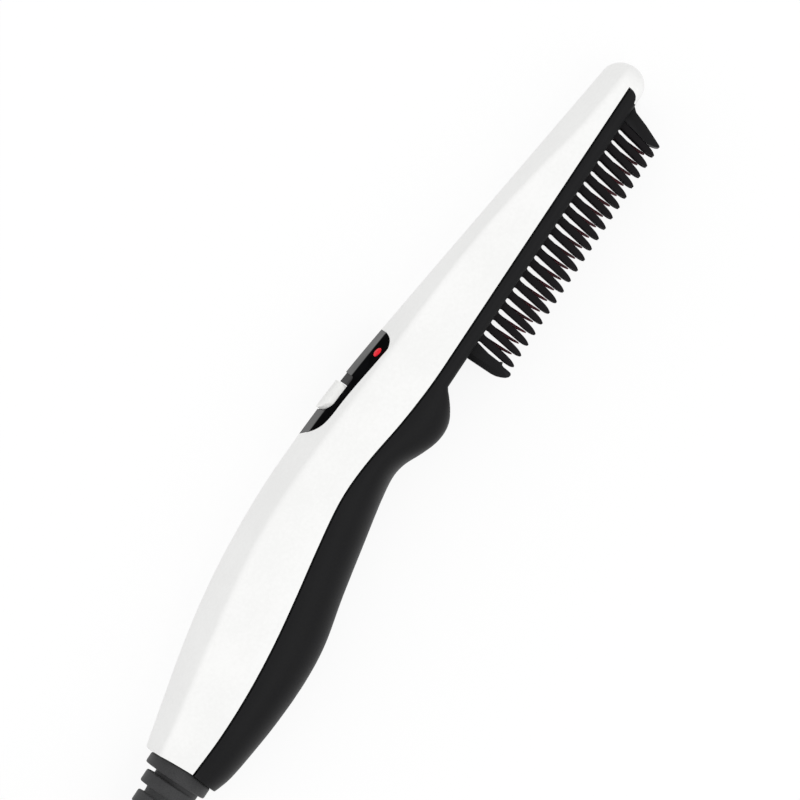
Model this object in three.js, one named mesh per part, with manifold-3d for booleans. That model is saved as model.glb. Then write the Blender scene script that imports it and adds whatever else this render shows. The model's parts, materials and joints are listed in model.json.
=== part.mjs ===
// A hair straightening comb: a slim mains styler with a heated comb under its head, two guard combs beside
// the heated teeth, a slide switch and a lamp on its back, and a ribbed boot where the cord leaves the tail.
// It lies on its side. X runs from the tail to the nose, the teeth point to -Y, the back faces +Y, and Z is
// up. Every piece is drawn around the comb line: x is 0 at the tail face, y is 0 at the comb's roots, and
// z is 0 in the middle of the thickness. The whole drawing is then moved so that it stands on z = 0.
import * as THREE from 'three';
import { mergeVertices } from 'three/addons/utils/BufferGeometryUtils.js';
import Module from 'manifold-3d';

const wasm = await Module();
wasm.setup();

// Driving dimensions, in millimetres

// Housing
const HANDLE_LENGTH = 135.3; // from the tail face to the corner behind the comb
const HEAD_LENGTH = 107.2; // from that corner to the tip of the nose
const NOSE_LENGTH = 6.4; // the rounded end of the head
const NOSE_MIDDLE = 7.1; // height of the nose's foremost point
const HALF_THICKNESS = 15.5; // the handle, from its middle plane to its flat side
const TAIL_HALF_THICKNESS = 12.5;
const TIP_HALF_THICKNESS = 13.2;
const FLAT_SIDE_START = 26; // where the handle reaches its full thickness
const WALL = 2.4;
const PARTING_GAP = 0.3; // the shadow line between the two shells
const FIT = 0.3; // clearance between pieces that are assembled together
const UNDERSIDE = 0.3; // height of the head's flat underside
const ROOF_CURVE = 1.4; // exponent of the roof: 1 is a plain gable, 2 a round arch
const CREASE_DROP = 1.2; // depth of the soft edge between the roof and the flat side
const BELLY_DROP = 1.2; // the flat side goes on this far below the parting line
const HEAD_EDGE = 2.6; // width of the rounded lower edge of the head

// Switch panel, knob and lamp
const PANEL_THICKNESS = 1.2;
const PANEL_TAIL = HANDLE_LENGTH - 35.1; // the pointed end of the panel
const PANEL_LENGTH = 38; // from its pointed end to its round end
const PANEL_TIP = PANEL_TAIL + PANEL_LENGTH;
const PANEL_DEPTH = 4.5; // how far down the side it reaches
const PANEL_CREASE = 6.6; // half the width of the panel's top facet
const SLOT_HALF_WIDTH = 8.4;
const SLOT_TAIL = PANEL_TAIL + 8.7;
const SLOT_LENGTH = 13.4;
const SLOT_TIP = SLOT_TAIL + SLOT_LENGTH;
const SLOT_CORNER = 1.2;
const SLOT_BOW = 4; // length of its round tail end
const KNOB_LENGTH = 9.9;
const KNOB_PROUD = 0.85; // how far the knob stands out of the panel
const KNOB_TRAVEL = 2.8;
const KNOB_PLAY = 0.4; // between that plate and the shell above it
const KNOB_FLANGE = 1.2; // thickness of the plate that keeps the knob in its slot
const KNOB_FLANGE_REACH = 1.4; // how far that plate reaches past the slot's sides and tail end
const KNOB_SHUTTER = 5.2; // how far it reaches past the knob's tip end, to close the slot
const LEVER_START = SLOT_TAIL + 4.3; // the tail side of the switch's lever
const LEVER_LENGTH = 2.0;
const LEVER_HALF_WIDTH = 1.0;
const LEVER_BOTTOM = 16.5;
const LEVER_TOP = 26.4;
const LAMP_X = PANEL_TIP - 6.1;
const LAMP_Z = 9.9;
const LAMP_RADIUS = 1.5;

// Circuit board
const BOARD_TOP = 14.3;
const BOARD_THICKNESS = 1.6;
const BOARD_TAIL = PANEL_TAIL + 0.6;
const BOARD_LENGTH = 35;
const BOARD_TIP = BOARD_TAIL + BOARD_LENGTH;
const BOARD_HALF_WIDTH = 11.5;
const SWITCH_HEIGHT = 5.0;
const SWITCH_START = SLOT_TAIL - 0.1;
const SWITCH_LENGTH = 13;
const SWITCH_HALF_WIDTH = 3.6;
const BOARD_POST_IN = 3.4; // from the board's end to its screw
const BOARD_POST_Z = -4;
const LED_RADIUS = 1.5;
const LED_HEIGHT = 3.9;
const RESISTOR_IN = 13; // from the board's tail end to the resistor
const RESISTOR_Z = 4;
const RESISTOR_LENGTH = 11;
const RESISTOR_RADIUS = 1.9;
const DIODE_IN = 16;
const DIODE_Z = 9;
const DIODE_LENGTH = 5.2;
const DIODE_RADIUS = 1.35;
const PART_LEAD_RADIUS = 0.35;
const PART_LEAD_LENGTH = 3;
const CAPACITOR_IN = 12;
const CAPACITOR_EDGE = -9.5; // its outer side, from the middle plane
const CAPACITOR_LENGTH = 10;
const CAPACITOR_WIDTH = 5;
const CAPACITOR_HEIGHT = 7;

// Combs
const COMB_START = HANDLE_LENGTH + 16.2; // root of the first guard tooth
const COMB_TO_NOSE = 8.56; // from the last guard tooth to the start of the nose
const TOOTH_COUNT = 21;
const TOOTH_WIDTH = 2.24;
const TOOTH_THICKNESS = 1.8;
const TOOTH_REACH = 12.3; // how far the tips stand below the comb line
const TOOTH_LEAN = 0.15; // how far a guard tooth leans to the tail, for each millimetre of its depth
const TOOTH_FAN = 0.0027; // each further tooth leans this much more
const GUARD_ROW = 8.2; // from the middle plane to the middle of a guard row
const HEATER_ROW = 2.7;
const HEATER_TOOTH_REACH = 10.3;
const HEATER_TOOTH_WIDTH = 1.7;
const HEATER_TOOTH_SHIFT = 0.2; // its root stands this far towards the nose from the guard tooth's root
const HEATER_TOOTH_LEAN = -0.08; // the first heated tooth leans the other way
const HEATER_HALF_WIDTH = 5.3;
const HEATER_BASE = 0.8; // height of the heated comb's lower face
const HEATER_FLOOR = 3.0; // height of the channel's floor in the heated comb
const HEATER_TOP = 7.0;
const HEATER_SIDE = 1.3; // thickness of the channel's sides
const HEATER_END = 5; // length of the solid block at each end of the channel
const HEATER_LIP = 1.7; // width of the lip that rests on the guard combs
const ELEMENT_IN = 7; // from the first guard tooth to the heating element
const ELEMENT_OUT = 6.04; // from the element to the end of the last guard tooth
const ELEMENT_HALF_WIDTH = 3.15;
const ELEMENT_THICKNESS = 2.3;
const FILM_THICKNESS = 0.25;
const BARE_END = 3.7; // the heating element stands this far out of its film, for the leads
const CLAMP_THICKNESS = 1;
const CLAMP_SCREW_IN = 2.4; // from the heated comb's end to the middle of its screw
const LEAD_HOLE_LENGTH = 3.8;
const LEAD_HOLE_HALF_WIDTH = 2.6;
const FUSE_IN = 13.5; // from the element's tail end to the thermal fuse
const FUSE_RADIUS = 2;
const FUSE_LENGTH = 12;
const END_TOOTH_HALF_WIDTH = 9.1;

// Screws
const SCREW_RADIUS = 1.2;
const SCREW_HEAD_RADIUS = 2.7;
const SCREW_HEAD_HEIGHT = 1.8;
const SMALL_SCREW_RADIUS = 0.9;
const SMALL_SCREW_HEAD_RADIUS = 1.9;
const SMALL_SCREW_HEAD_HEIGHT = 1.3;
const BOSS_WALL = 1.7;
const SMALL_SCREW_LENGTH = 7;
const HEATER_SCREW_LENGTH = 5;
// The case screws, all in the middle plane: place along the body, depth of the seat above the belly, length
const CASE_SCREWS = [
  { name: 'case_screw_tail', x: 37, depth: 4.2, length: 17 },
  { name: 'case_screw_middle', x: HANDLE_LENGTH - 39, depth: 4.2, length: 13 },
  { name: 'case_screw_head', x: HANDLE_LENGTH + 5.1, depth: 2.6, length: 13 },
];

// Strain relief
const BOOT_MIDDLE = 3.3; // height of the cord's middle line at the tail
const BOOT_COLLAR_RADIUS = 10;
const BOOT_COLLAR_LENGTH = 3.2;
const BOOT_COLLAR_GROOVE = 1.4; // the neck between the collar and the first rib
const BOOT_NECK_RADIUS = 7.4;
const BOOT_FLANGE_RADIUS = 9.4;
const BOOT_FLANGE_LENGTH = 2.2;
const BOOT_RIB_COUNT = 5;
const BOOT_RIB_PITCH = 6.2;
const BOOT_RIB_LENGTH = 4.0;
const BOOT_RIB_RADIUS = 8.4; // the first rib
const BOOT_RIB_SHRINK = 1.05; // each further rib is this much smaller
const BOOT_CORE_RADIUS = 6.1;
const BOOT_NOSE_RADIUS = 3.5;
const BOOT_NOSE_LENGTH = 2.6;
const CLAMP_X = 15; // middle of the cord clamp
const CLAMP_LENGTH = 5;
const CLAMP_SCREW_Z = 7.6;
const CLAMP_BAR = 2.5; // thickness of its bar
const SHEATH_END = 22; // where the cord's sheath ends inside

// Cord and plug
const CORD_RADIUS = 2.5;
const CORE_RADIUS = 0.8; // one insulated wire inside
const LEAD_Z = 8; // where the leads meet the board, from the middle plane
const LEAD_IN = 6.5; // from the board's ends to the leads
const LEAD_HEIGHT = 8.3; // of the leads between the board and the heated comb
const HANK_LAYERS = 4;
const LAYER_LOOPS = 1.5; // loops in one layer
const HANK_STEP = 6.0; // from one run to the next beside it
const HANK_LAYER = 5.5; // from one layer to the next above it
const HANK_INNER_RADIUS = 15; // the tightest fold
const HANK_WAIST = 0.09; // how much the tie draws the runs together
const HANK_WAIST_WIDTH = 18;
const HANK_NEAR_END = -78; // where the straight runs begin, behind the tail
const HANK_FAR_END = -152.2; // where they end, so that the whole cord is 1,800 mm long
const HANK_MIDDLE = 16.8; // the middle of the hank, across it
const LOOP_STEPS = 24;
const HANK_SIDES = 6;
const CORD_SIDES = 10;
const JOINT_GAP = 0.05; // between one length of the cord and the next
const TIE_WIDTH = 7;
const TIE_THICKNESS = 0.8;
const TIE_LIFT = 1.1; // the hank is lifted this much over the tie
const PLUG_LENGTH = 46;
const PLUG_WIDTH = 47;
const PLUG_THICKNESS = 19;
const PLUG_MIDDLE = 10.6;
const PLUG_NEAR_FACE = -215; // the side of the plug that the cord enters
const PLUG_CORD_HEIGHT = 8.5; // of the cord's middle, over the floor
const PLUG_SLEEVE_LENGTH = 15;
const PLUG_SLEEVE_RADIUS = 5.2;
const PIN_LINE = 14; // from the near face to the line of the live and neutral pins
const PIN_SEAT = 8; // how deep the pins sit in the plug
const FUSE_CARRIER_LENGTH = 27.2;
const FUSE_CARRIER_HALF_WIDTH = 4.5;
const FUSE_CARRIER_THICKNESS = 1.8;
const PLUG_FUSE_LENGTH = 25.4;
const PLUG_FUSE_RADIUS = 3.15;
const PIN_SPACING = 22.2; // live to neutral, and earth to the line between them
const PIN_WIDTH = 6.35;
const PIN_THICKNESS = 4;
const PIN_REACH = 17.7;
const EARTH_WIDTH = 4;
const EARTH_LENGTH = 8;
const EARTH_REACH = 22.7;

const BODY_LENGTH = HANDLE_LENGTH + HEAD_LENGTH;
const NOSE_START = BODY_LENGTH - NOSE_LENGTH;
const COMB_END = NOSE_START - COMB_TO_NOSE;
const TOOTH_PITCH = (COMB_END - TOOTH_WIDTH - COMB_START) / (TOOTH_COUNT - 1);
const ELEMENT_START = COMB_START + ELEMENT_IN;
const ELEMENT_END = COMB_END - ELEMENT_OUT;
const FLOOR = -HALF_THICKNESS;

// Materials, with the colours of the photograph
const finish = (color, roughness, metalness) =>
  new THREE.MeshStandardMaterial({ color, roughness, metalness });
const plastic = (colour, roughness) => finish(colour, roughness, 0);
const metal = (colour, roughness) => finish(colour, roughness, 1);
const WHITE_PLASTIC = plastic(0xf4f4f2, 0.38);
const BLACK_PLASTIC = plastic(0x2a2a2b, 0.5);
const GLOSS_BLACK = plastic(0x0d0d0e, 0.12);
const KNOB_WHITE = plastic(0xf1f1ef, 0.3);
const COMB_BLACK = plastic(0x1c1b1c, 0.5);
const HEATED_METAL = metal(0x4a1a20, 0.4);
const RED_LENS = plastic(0xe01c2c, 0.2);
const RUBBER = plastic(0x2e2e2f, 0.75);
const CORD_BLACK = plastic(0x1b1b1c, 0.6);
const STEEL = metal(0xb8babd, 0.35);
const BRASS = metal(0xcfae62, 0.3);
const BOARD_GREEN = plastic(0x1f6a3c, 0.5);
const CERAMIC = plastic(0xd9d4c8, 0.7);
const FILM_AMBER = plastic(0xb8741c, 0.3);
const WIRE_BROWN = plastic(0x6b3a1e, 0.5);
const WIRE_BLUE = plastic(0x2458a8, 0.5);
const CREAM = plastic(0xd8cfb4, 0.6);

// Solids

// The closed surface of a geometry as positions and triangles, facing out, with its seams merged
function surfaceOf(geometry) {
  const bare = geometry.clone();
  bare.deleteAttribute('normal');
  bare.deleteAttribute('uv');
  const merged = mergeVertices(bare, 1e-4);
  const positions = merged.attributes.position.array;
  const corners = merged.index.array;
  const kept = [];
  let volume = 0;
  const at = (index) => new THREE.Vector3().fromArray(positions, index * 3);
  for (let i = 0; i < corners.length; i += 3) {
    const [a, b, c] = [corners[i], corners[i + 1], corners[i + 2]];
    if (a === b || b === c || a === c) continue;
    kept.push(a, b, c);
    volume += at(a).dot(at(b).cross(at(c)));
  }
  if (volume < 0) kept.reverse();
  return { positions: new Float32Array(positions), triangles: new Uint32Array(kept) };
}

function solidOf(geometry) {
  const { positions, triangles } = surfaceOf(geometry);
  return new wasm.Manifold(new wasm.Mesh({ numProp: 3, vertProperties: positions, triVerts: triangles }));
}

function geometryOf(solid) {
  const mesh = solid.getMesh();
  const geometry = new THREE.BufferGeometry();
  geometry.setAttribute('position', new THREE.BufferAttribute(new Float32Array(mesh.vertProperties), 3));
  geometry.setIndex(new THREE.BufferAttribute(new Uint32Array(mesh.triVerts), 1));
  geometry.computeVertexNormals();
  return geometry;
}

const joined = (first, ...others) => others.reduce((whole, other) => whole.add(other), first);
const cut = (first, ...others) => others.reduce((whole, other) => whole.subtract(other), first);
const common = (first, ...others) => others.reduce((whole, other) => whole.intersect(other), first);

// Plain shapes

function box(x0, x1, y0, y1, z0, z1) {
  const geometry = new THREE.BoxGeometry(x1 - x0, y1 - y0, z1 - z0);
  geometry.translate((x0 + x1) / 2, (y0 + y1) / 2, (z0 + z1) / 2);
  return solidOf(geometry);
}

const flatShape = (points) => new THREE.Shape(points.map(([a, b]) => new THREE.Vector2(a, b)));
const extruded = (shape, depth) =>
  new THREE.ExtrudeGeometry(shape, { depth, bevelEnabled: false, curveSegments: 6 });

// An outline of [x, y] points, drawn out along Z
function alongZ(points, z0, z1) {
  return solidOf(extruded(flatShape(points), z1 - z0).translate(0, 0, z0));
}

// An outline of [x, z] points, drawn out along Y
function alongY(points, y0, y1) {
  const outline = flatShape(points.map(([x, z]) => [x, -z]));
  return solidOf(extruded(outline, y1 - y0).rotateX(-Math.PI / 2).translate(0, y0, 0));
}

// An outline of [z, y] points, drawn out along X
function alongX(points, x0, x1) {
  const outline = flatShape(points.map(([z, y]) => [-z, y]));
  return solidOf(extruded(outline, x1 - x0).rotateY(Math.PI / 2).translate(x0, 0, 0));
}

function rodX(x0, x1, y, z, radius, sides = 12) {
  const geometry = new THREE.CylinderGeometry(radius, radius, x1 - x0, sides);
  return solidOf(geometry.rotateZ(Math.PI / 2).translate((x0 + x1) / 2, y, z));
}

function rodY(x, y0, y1, z, radius, sides = 12) {
  const geometry = new THREE.CylinderGeometry(radius, radius, y1 - y0, sides);
  return solidOf(geometry.translate(x, (y0 + y1) / 2, z));
}

// A closed skin over rings of points. Every ring has as many points, and the ends are flat and convex.
function loft(rings) {
  const count = rings[0].length;
  const positions = rings.flat().flatMap((point) => point.toArray());
  const triangles = [];
  for (let ring = 0; ring + 1 < rings.length; ring++) {
    for (let i = 0; i < count; i++) {
      const [a, b] = [ring * count + i, ring * count + ((i + 1) % count)];
      triangles.push(a, b, b + count, a, b + count, a + count);
    }
  }
  const last = (rings.length - 1) * count;
  for (let i = 1; i + 1 < count; i++) {
    triangles.push(0, i + 1, i, last, last + i, last + i + 1);
  }
  const geometry = new THREE.BufferGeometry();
  geometry.setAttribute('position', new THREE.Float32BufferAttribute(positions, 3));
  geometry.setIndex(triangles);
  return geometry;
}

// A round tube along a smooth curve through points, with flat ends
function tube(points, radius, sides, steps) {
  const route = new THREE.CatmullRomCurve3(points.map((point) => new THREE.Vector3(...point)));
  const section = new THREE.Shape();
  for (let i = 0; i < sides; i++) {
    const angle = (i / sides) * 2 * Math.PI;
    const corner = [radius * Math.cos(angle), radius * Math.sin(angle)];
    if (i === 0) section.moveTo(...corner);
    else section.lineTo(...corner);
  }
  return new THREE.ExtrudeGeometry(section, { steps, extrudePath: route, bevelEnabled: false });
}

// A round piece turned about the X axis through y and z, from [distance along X, radius] points
function turnedX(profile, y, z, sides) {
  const outline = [[profile[0][0], 0], ...profile, [profile[profile.length - 1][0], 0]];
  const points = outline.map(([along, radius]) => new THREE.Vector2(radius, along));
  return solidOf(new THREE.LatheGeometry(points, sides).rotateZ(-Math.PI / 2).translate(0, y, z));
}

// A pan head screw whose seat is at the origin, with its shank pointing to -Y
function screwGeometry(radius, headRadius, headHeight, length) {
  const point = radius * 1.2;
  const outline = [
    [0, -length],
    [radius * 0.4, -length],
    [radius, point - length],
    [radius, 0],
    [headRadius, 0],
    [headRadius, headHeight * 0.6],
    [headRadius * 0.7, headHeight],
    [0, headHeight],
  ];
  return new THREE.LatheGeometry(outline.map(([r, y]) => new THREE.Vector2(r, y)), 10);
}

// The group that holds every piece

const styler = new THREE.Group();
const object = new THREE.Group();
object.add(styler);

function add(name, shape, material, parent = styler) {
  const geometry = shape instanceof THREE.BufferGeometry ? shape : geometryOf(shape);
  const mesh = new THREE.Mesh(geometry, material);
  mesh.name = name;
  parent.add(mesh);
  return mesh;
}

// The outlines of the body, seen from the side

// A smooth line through [x, height] points: each slope comes from the two neighbours
function lineThrough(points) {
  const last = points.length - 1;
  const slope = (i) => {
    const [a, b] = [points[Math.max(i - 1, 0)], points[Math.min(i + 1, last)]];
    return (b[1] - a[1]) / (b[0] - a[0]);
  };
  return (x) => {
    let i = 0;
    while (i < last - 1 && x > points[i + 1][0]) i++;
    const [[x0, y0], [x1, y1]] = [points[i], points[i + 1]];
    const span = x1 - x0;
    const t = Math.min(Math.max((x - x0) / span, 0), 1);
    const [early, late] = [slope(i) * span, slope(i + 1) * span];
    const rise = t * t * (3 - 2 * t);
    return y0 + (y1 - y0) * rise + early * t * (1 - t) * (1 - t) - late * t * t * (1 - t);
  };
}

// A point of an outline is given by its share of the handle's or the head's length, and its height
const inHandle = ([share, height]) => [share * HANDLE_LENGTH, height];
const inHead = ([share, height]) => [HANDLE_LENGTH + share * HEAD_LENGTH, height];

const backLine = lineThrough([
  ...[[0, 15.5], [0.11, 19.2], [0.22, 22.8], [0.33, 25.7], [0.44, 27.7], [0.59, 29]].map(inHandle),
  ...[[0.74, 28.75], [0.88, 27.65], [1, 26]].map(inHandle),
  ...[[0.5, 19.45], [1, 12.9]].map(inHead),
]);
const creaseLine = lineThrough([
  ...[[0, 10.8], [0.07, 12.1], [0.33, 18.4], [0.49, 21.6], [0.65, 22.4], [1, 20]].map(inHandle),
  ...[[0.37, 17.6], [0.64, 13.1], [0.79, 9.9], [1, 7.6]].map(inHead),
]);
const partingPoints = [
  ...[[0, -0.3], [0.11, -1], [0.22, -0.6], [0.33, 0.8], [0.44, 3], [0.55, 5.6], [0.65, 7.7]].map(inHandle),
  ...[[0.71, 8.1], [0.78, 7.5], [0.88, 5.7], [0.97, 4.6]].map(inHandle),
  ...[[0.05, 4.35], [1, 4.35]].map(inHead),
];
const partingLine = lineThrough(partingPoints);
const bellyLine = lineThrough([
  ...[[0, -8.2], [0.04, -9.9], [0.11, -11.2], [0.2, -12.2], [0.3, -12.4], [0.39, -11.2]].map(inHandle),
  ...[[0.5, -7.7], [0.62, -4.3], [0.72, -1.6], [0.775, -0.7], [0.81, -1.5], [0.85, -3.8]].map(inHandle),
  ...[[0.885, -5.5], [0.914, -6], [0.94, -5.3], [0.965, -3.3], [0.985, -1.1], [1, UNDERSIDE]].map(inHandle),
  ...[[0.02, UNDERSIDE], [1, UNDERSIDE]].map(inHead),
]);

function halfThickness(x) {
  if (x < FLAT_SIDE_START) {
    const turn = Math.sin(((x / FLAT_SIDE_START) * Math.PI) / 2);
    return TAIL_HALF_THICKNESS + (HALF_THICKNESS - TAIL_HALF_THICKNESS) * turn;
  }
  const share = Math.max(0, (x - HANDLE_LENGTH) / HEAD_LENGTH);
  return HALF_THICKNESS - (HALF_THICKNESS - TIP_HALF_THICKNESS) * share ** 1.2;
}

// How far in from the flat side the belly starts to turn: nearly all of it on the handle, an edge on the head
function bellyRound(x) {
  const toHead = THREE.MathUtils.smoothstep(x, 0.93 * HANDLE_LENGTH, HANDLE_LENGTH);
  return THREE.MathUtils.lerp(0.85 * halfThickness(x), HEAD_EDGE, toHead);
}

// One cross-section of the body, as a ring that starts at the ridge and goes round by +Z. Inset is the depth
// below the outer surface, and roofShares say where the roof has its points, as shares of the half thickness.
function bodySection(x, inset, roofShares) {
  const early = Math.min(x, NOSE_START);
  const nose = Math.max(0, (x - NOSE_START) / NOSE_LENGTH);
  const round = Math.sqrt(1 - nose * nose);
  const narrow = (1 - nose ** 2.4) ** (1 / 2.4);
  const height = (y) => NOSE_MIDDLE + (y - NOSE_MIDDLE) * round;
  const [ridge, crease] = [height(backLine(early)), height(creaseLine(early))];
  const [belly, sideEnd] = [height(bellyLine(early)), height(partingLine(early) - BELLY_DROP)];
  const half = halfThickness(early) * narrow;
  const wide = half - inset;
  const edge = Math.max(bellyRound(early) * narrow - inset, 0.3);
  const bottom = belly + inset;
  const depth = Math.max(sideEnd - bottom, 0.3);

  const roof = (share) => ridge - inset - (ridge - crease) * share ** ROOF_CURVE;
  const side = roofShares.map((share) => [wide * share, roof(share)]);
  side.push([wide, crease - CREASE_DROP * round - inset]);
  for (const degrees of [0, 25, 50, 72, 90]) {
    const angle = THREE.MathUtils.degToRad(degrees);
    side.push([wide - edge + edge * Math.cos(angle), bottom + depth * (1 - Math.sin(angle))]);
  }
  const near = side.map(([z, y]) => new THREE.Vector3(x, y, z));
  const far = side.slice().reverse().map(([z, y]) => new THREE.Vector3(x, y, -z));
  return [new THREE.Vector3(x, ridge - inset, 0), ...near, ...far];
}

// Equal steps from one place to another, without the last
const steps = (from, to, count) => Array.from({ length: count }, (_, i) => from + ((to - from) * i) / count);
const ROOF_SHARES = [0.22, 0.46, 0.7, 0.93];
const FACETED_ROOF = [PANEL_CREASE / HALF_THICKNESS, 0.6, 0.8, 0.93]; // over the switch panel

// The whole outer body, or the same body a wall's depth further in
function bodySolid(inset, roofShares = ROOF_SHARES) {
  const hook = 0.76 * HANDLE_LENGTH;
  const places = [
    ...steps(0.8, hook, 14),
    ...steps(hook, HANDLE_LENGTH, 12),
    ...steps(HANDLE_LENGTH, NOSE_START, 7),
    ...[0, 0.3, 0.55, 0.75, 0.88, 0.96, 0.99].map((share) => NOSE_START + share * NOSE_LENGTH),
  ];
  const rings = places.map((x) => bodySection(x, inset, roofShares));
  const tailFace = bodySection(0.8, inset + 0.7, roofShares);
  tailFace.forEach((point) => point.setX(0));
  return solidOf(loft([tailFace, ...rings]));
}

// The space inside both shells
function cavitySolid(inset) {
  const hook = 0.76 * HANDLE_LENGTH;
  const places = [
    ...steps(inset, hook, 9),
    ...steps(hook, HANDLE_LENGTH, 7),
    ...steps(HANDLE_LENGTH, NOSE_START - inset, 4),
    NOSE_START - inset,
  ];
  return solidOf(loft(places.map((x) => bodySection(x, inset, [0.35, 0.7, 0.93]))));
}

// The side outlines of the two shells: the parting line, and the seam where the nose wraps the comb's end
const FAR_OUT = 60;
const SEAM_TOP = NOSE_START + 0.3;
const partingPlaces = [
  ...steps(-5, 0.97 * HANDLE_LENGTH, 30),
  0.97 * HANDLE_LENGTH,
  HANDLE_LENGTH + 0.05 * HEAD_LENGTH,
];

function underParting(drop) {
  const line = partingPlaces.map((x) => [x, partingLine(Math.max(x, 0)) - drop]);
  const level = partingLine(BODY_LENGTH) - drop;
  const seam = [[SEAM_TOP, level], [SEAM_TOP - 0.3, 3], [SEAM_TOP - 1.2, 1.6], [SEAM_TOP - 3.2, 0.84]];
  const moved = seam.map(([x, y]) => [x - drop, y]);
  const under = [[SEAM_TOP - 3.2 - drop, -FAR_OUT], [-5, -FAR_OUT]];
  return alongZ([...line, ...moved, ...under], -FAR_OUT, FAR_OUT);
}

const outerBody = bodySolid(0);
const cavity = cavitySolid(WALL);
const bossSpace = cavitySolid(WALL - FIT);
const aboveParting = cut(
  box(-5, BODY_LENGTH + 5, -FAR_OUT, FAR_OUT, -FAR_OUT, FAR_OUT),
  underParting(-PARTING_GAP / 2),
);
const belowParting = underParting(PARTING_GAP / 2);
const bootPassage = rodX(-1, WALL + 0.5, BOOT_MIDDLE, 0, BOOT_NECK_RADIUS + FIT, 20);

// The bosses of the case screws. The screws go in from the belly, and bite in the bosses of the top shell.

function caseScrewBosses({ name, x, depth, length }) {
  const seat = bellyLine(x) + depth;
  const meeting = partingLine(x) + BOSS_WALL;
  const lower = rodY(x, bellyLine(x) - 1, meeting, 0, SCREW_HEAD_RADIUS + FIT + BOSS_WALL - 0.5, 14);
  const upper = rodY(x, meeting + FIT, backLine(x), 0, SCREW_RADIUS + FIT + BOSS_WALL, 12);
  const headHole = rodY(x, -FAR_OUT, seat, 0, SCREW_HEAD_RADIUS + FIT, 14);
  const shankHole = rodY(x, -FAR_OUT, seat + length + FIT, 0, SCREW_RADIUS + FIT, 12);
  return { name, x, length, lower, upper, headHole, shankHole, seat };
}

const caseBosses = CASE_SCREWS.map(caseScrewBosses);

// The switch panel, laid into the back: an outline seen from the side, cut out of a thin skin of the body

function panelOutline(margin) {
  const below = (x, depth) => [x, backLine(x) - depth - margin];
  const tail = PANEL_TAIL - margin;
  const tip = PANEL_TIP + margin;
  return [
    [tail, backLine(tail) + 5],
    below(tail, 0),
    below(tail + 1.5, 1.4),
    below(tail + 3.5, 2.9),
    below(tail + 5.5, 3.8),
    below(tail + 7.7, 4.3),
    below(tail + 11, PANEL_DEPTH),
    below(tip - 4.2, PANEL_DEPTH),
    below(tip - 3, PANEL_DEPTH - 0.2),
    below(tip - 1.8, PANEL_DEPTH - 1),
    below(tip - 0.6, PANEL_DEPTH - 2.4),
    below(tip, 1.1),
    [tip, backLine(tip) + 5],
  ];
}

// A slot or knob seen from the back: a bowed tail end, and a flat tip end with small round corners
function slotShape(tail, tip, half, corner) {
  const bow = [-60, -30, 0, 30, 60].map((degrees) => {
    const angle = THREE.MathUtils.degToRad(degrees);
    return [tail + SLOT_BOW * (1 - Math.cos(angle)), half * Math.sin(angle)];
  });
  return [
    ...bow,
    [tail + SLOT_BOW, half],
    [tip - corner, half],
    [tip - corner * 0.3, half - corner * 0.3],
    [tip, half - corner],
    [tip, corner - half],
    [tip - corner * 0.3, corner * 0.3 - half],
    [tip - corner, -half],
    [tail + SLOT_BOW, -half],
  ];
}

const slotOutline = (margin) =>
  slotShape(SLOT_TAIL - margin, SLOT_TIP + margin, SLOT_HALF_WIDTH + margin, SLOT_CORNER);

const panelFloor = bodySolid(PANEL_THICKNESS + FIT);
const panelBack = bodySolid(PANEL_THICKNESS);
const facetedBody = bodySolid(0, FACETED_ROOF);
const slotFloor = BOARD_TOP + SWITCH_HEIGHT;
const lampHole = rodY(LAMP_X, BOARD_TOP, FAR_OUT, LAMP_Z, LAMP_RADIUS + FIT, 12);

const switchPanel = cut(
  common(alongZ(panelOutline(0), -FAR_OUT, FAR_OUT), facetedBody),
  panelBack,
  alongY(slotOutline(0), slotFloor, FAR_OUT),
  lampHole,
);
const panelPocket = cut(alongZ(panelOutline(FIT), -FAR_OUT, FAR_OUT), panelFloor);

// The posts that the circuit board hangs from, and the ribs that hold the heated comb down

const boardScrewPlaces = [BOARD_TAIL + BOARD_POST_IN, BOARD_TIP - BOARD_POST_IN];
const boardUnderside = BOARD_TOP - BOARD_THICKNESS;
const boardScrewHoles = boardScrewPlaces.map((x) =>
  rodY(x, boardUnderside - 1, BOARD_TOP + 6, BOARD_POST_Z, SMALL_SCREW_RADIUS + FIT, 10));
const boardPosts = boardScrewPlaces.map((x) =>
  rodY(x, BOARD_TOP + FIT, backLine(x), BOARD_POST_Z, SMALL_SCREW_RADIUS + FIT + BOSS_WALL, 10));

const clampTop = HEATER_TOP + FIT + CLAMP_THICKNESS;
const holdDownRibs = [COMB_START + 12, COMB_END - 14].map((x) =>
  cut(
    box(x, x + 1.6, clampTop + FIT, backLine(x), -7, 7),
    box(x - 1, x + 3, 0, clampTop + 2 * FUSE_RADIUS + 1, -2.8, 2.8),
  ));

const topShell = cut(
  joined(
    cut(common(outerBody, aboveParting), cavity),
    common(joined(...boardPosts, ...caseBosses.map(({ upper }) => upper), ...holdDownRibs), bossSpace),
  ),
  ...boardScrewHoles,
  ...caseBosses.map(({ shankHole }) => shankHole),
  panelPocket,
  alongY(slotOutline(FIT), slotFloor, FAR_OUT),
  lampHole,
  bootPassage,
);

// The bottom shell, with the comb window, the wide end teeth and the bosses of the cord clamp

const windowHalfWidth = GUARD_ROW + TOOTH_THICKNESS / 2 + 0.5;
const ledge = UNDERSIDE + WALL;
const [handleToothStart, handleToothEnd] = [COMB_START - 6.1, COMB_START - 1.1];
const [tipToothStart, tipToothEnd] = [COMB_END + 0.4, COMB_END + 5.7];
const [windowStart, windowEnd] = [handleToothEnd + 0.4, tipToothStart - 0.1];
const combWindow = box(windowStart, windowEnd, UNDERSIDE - 1, ledge + 1, -windowHalfWidth, windowHalfWidth);

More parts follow.
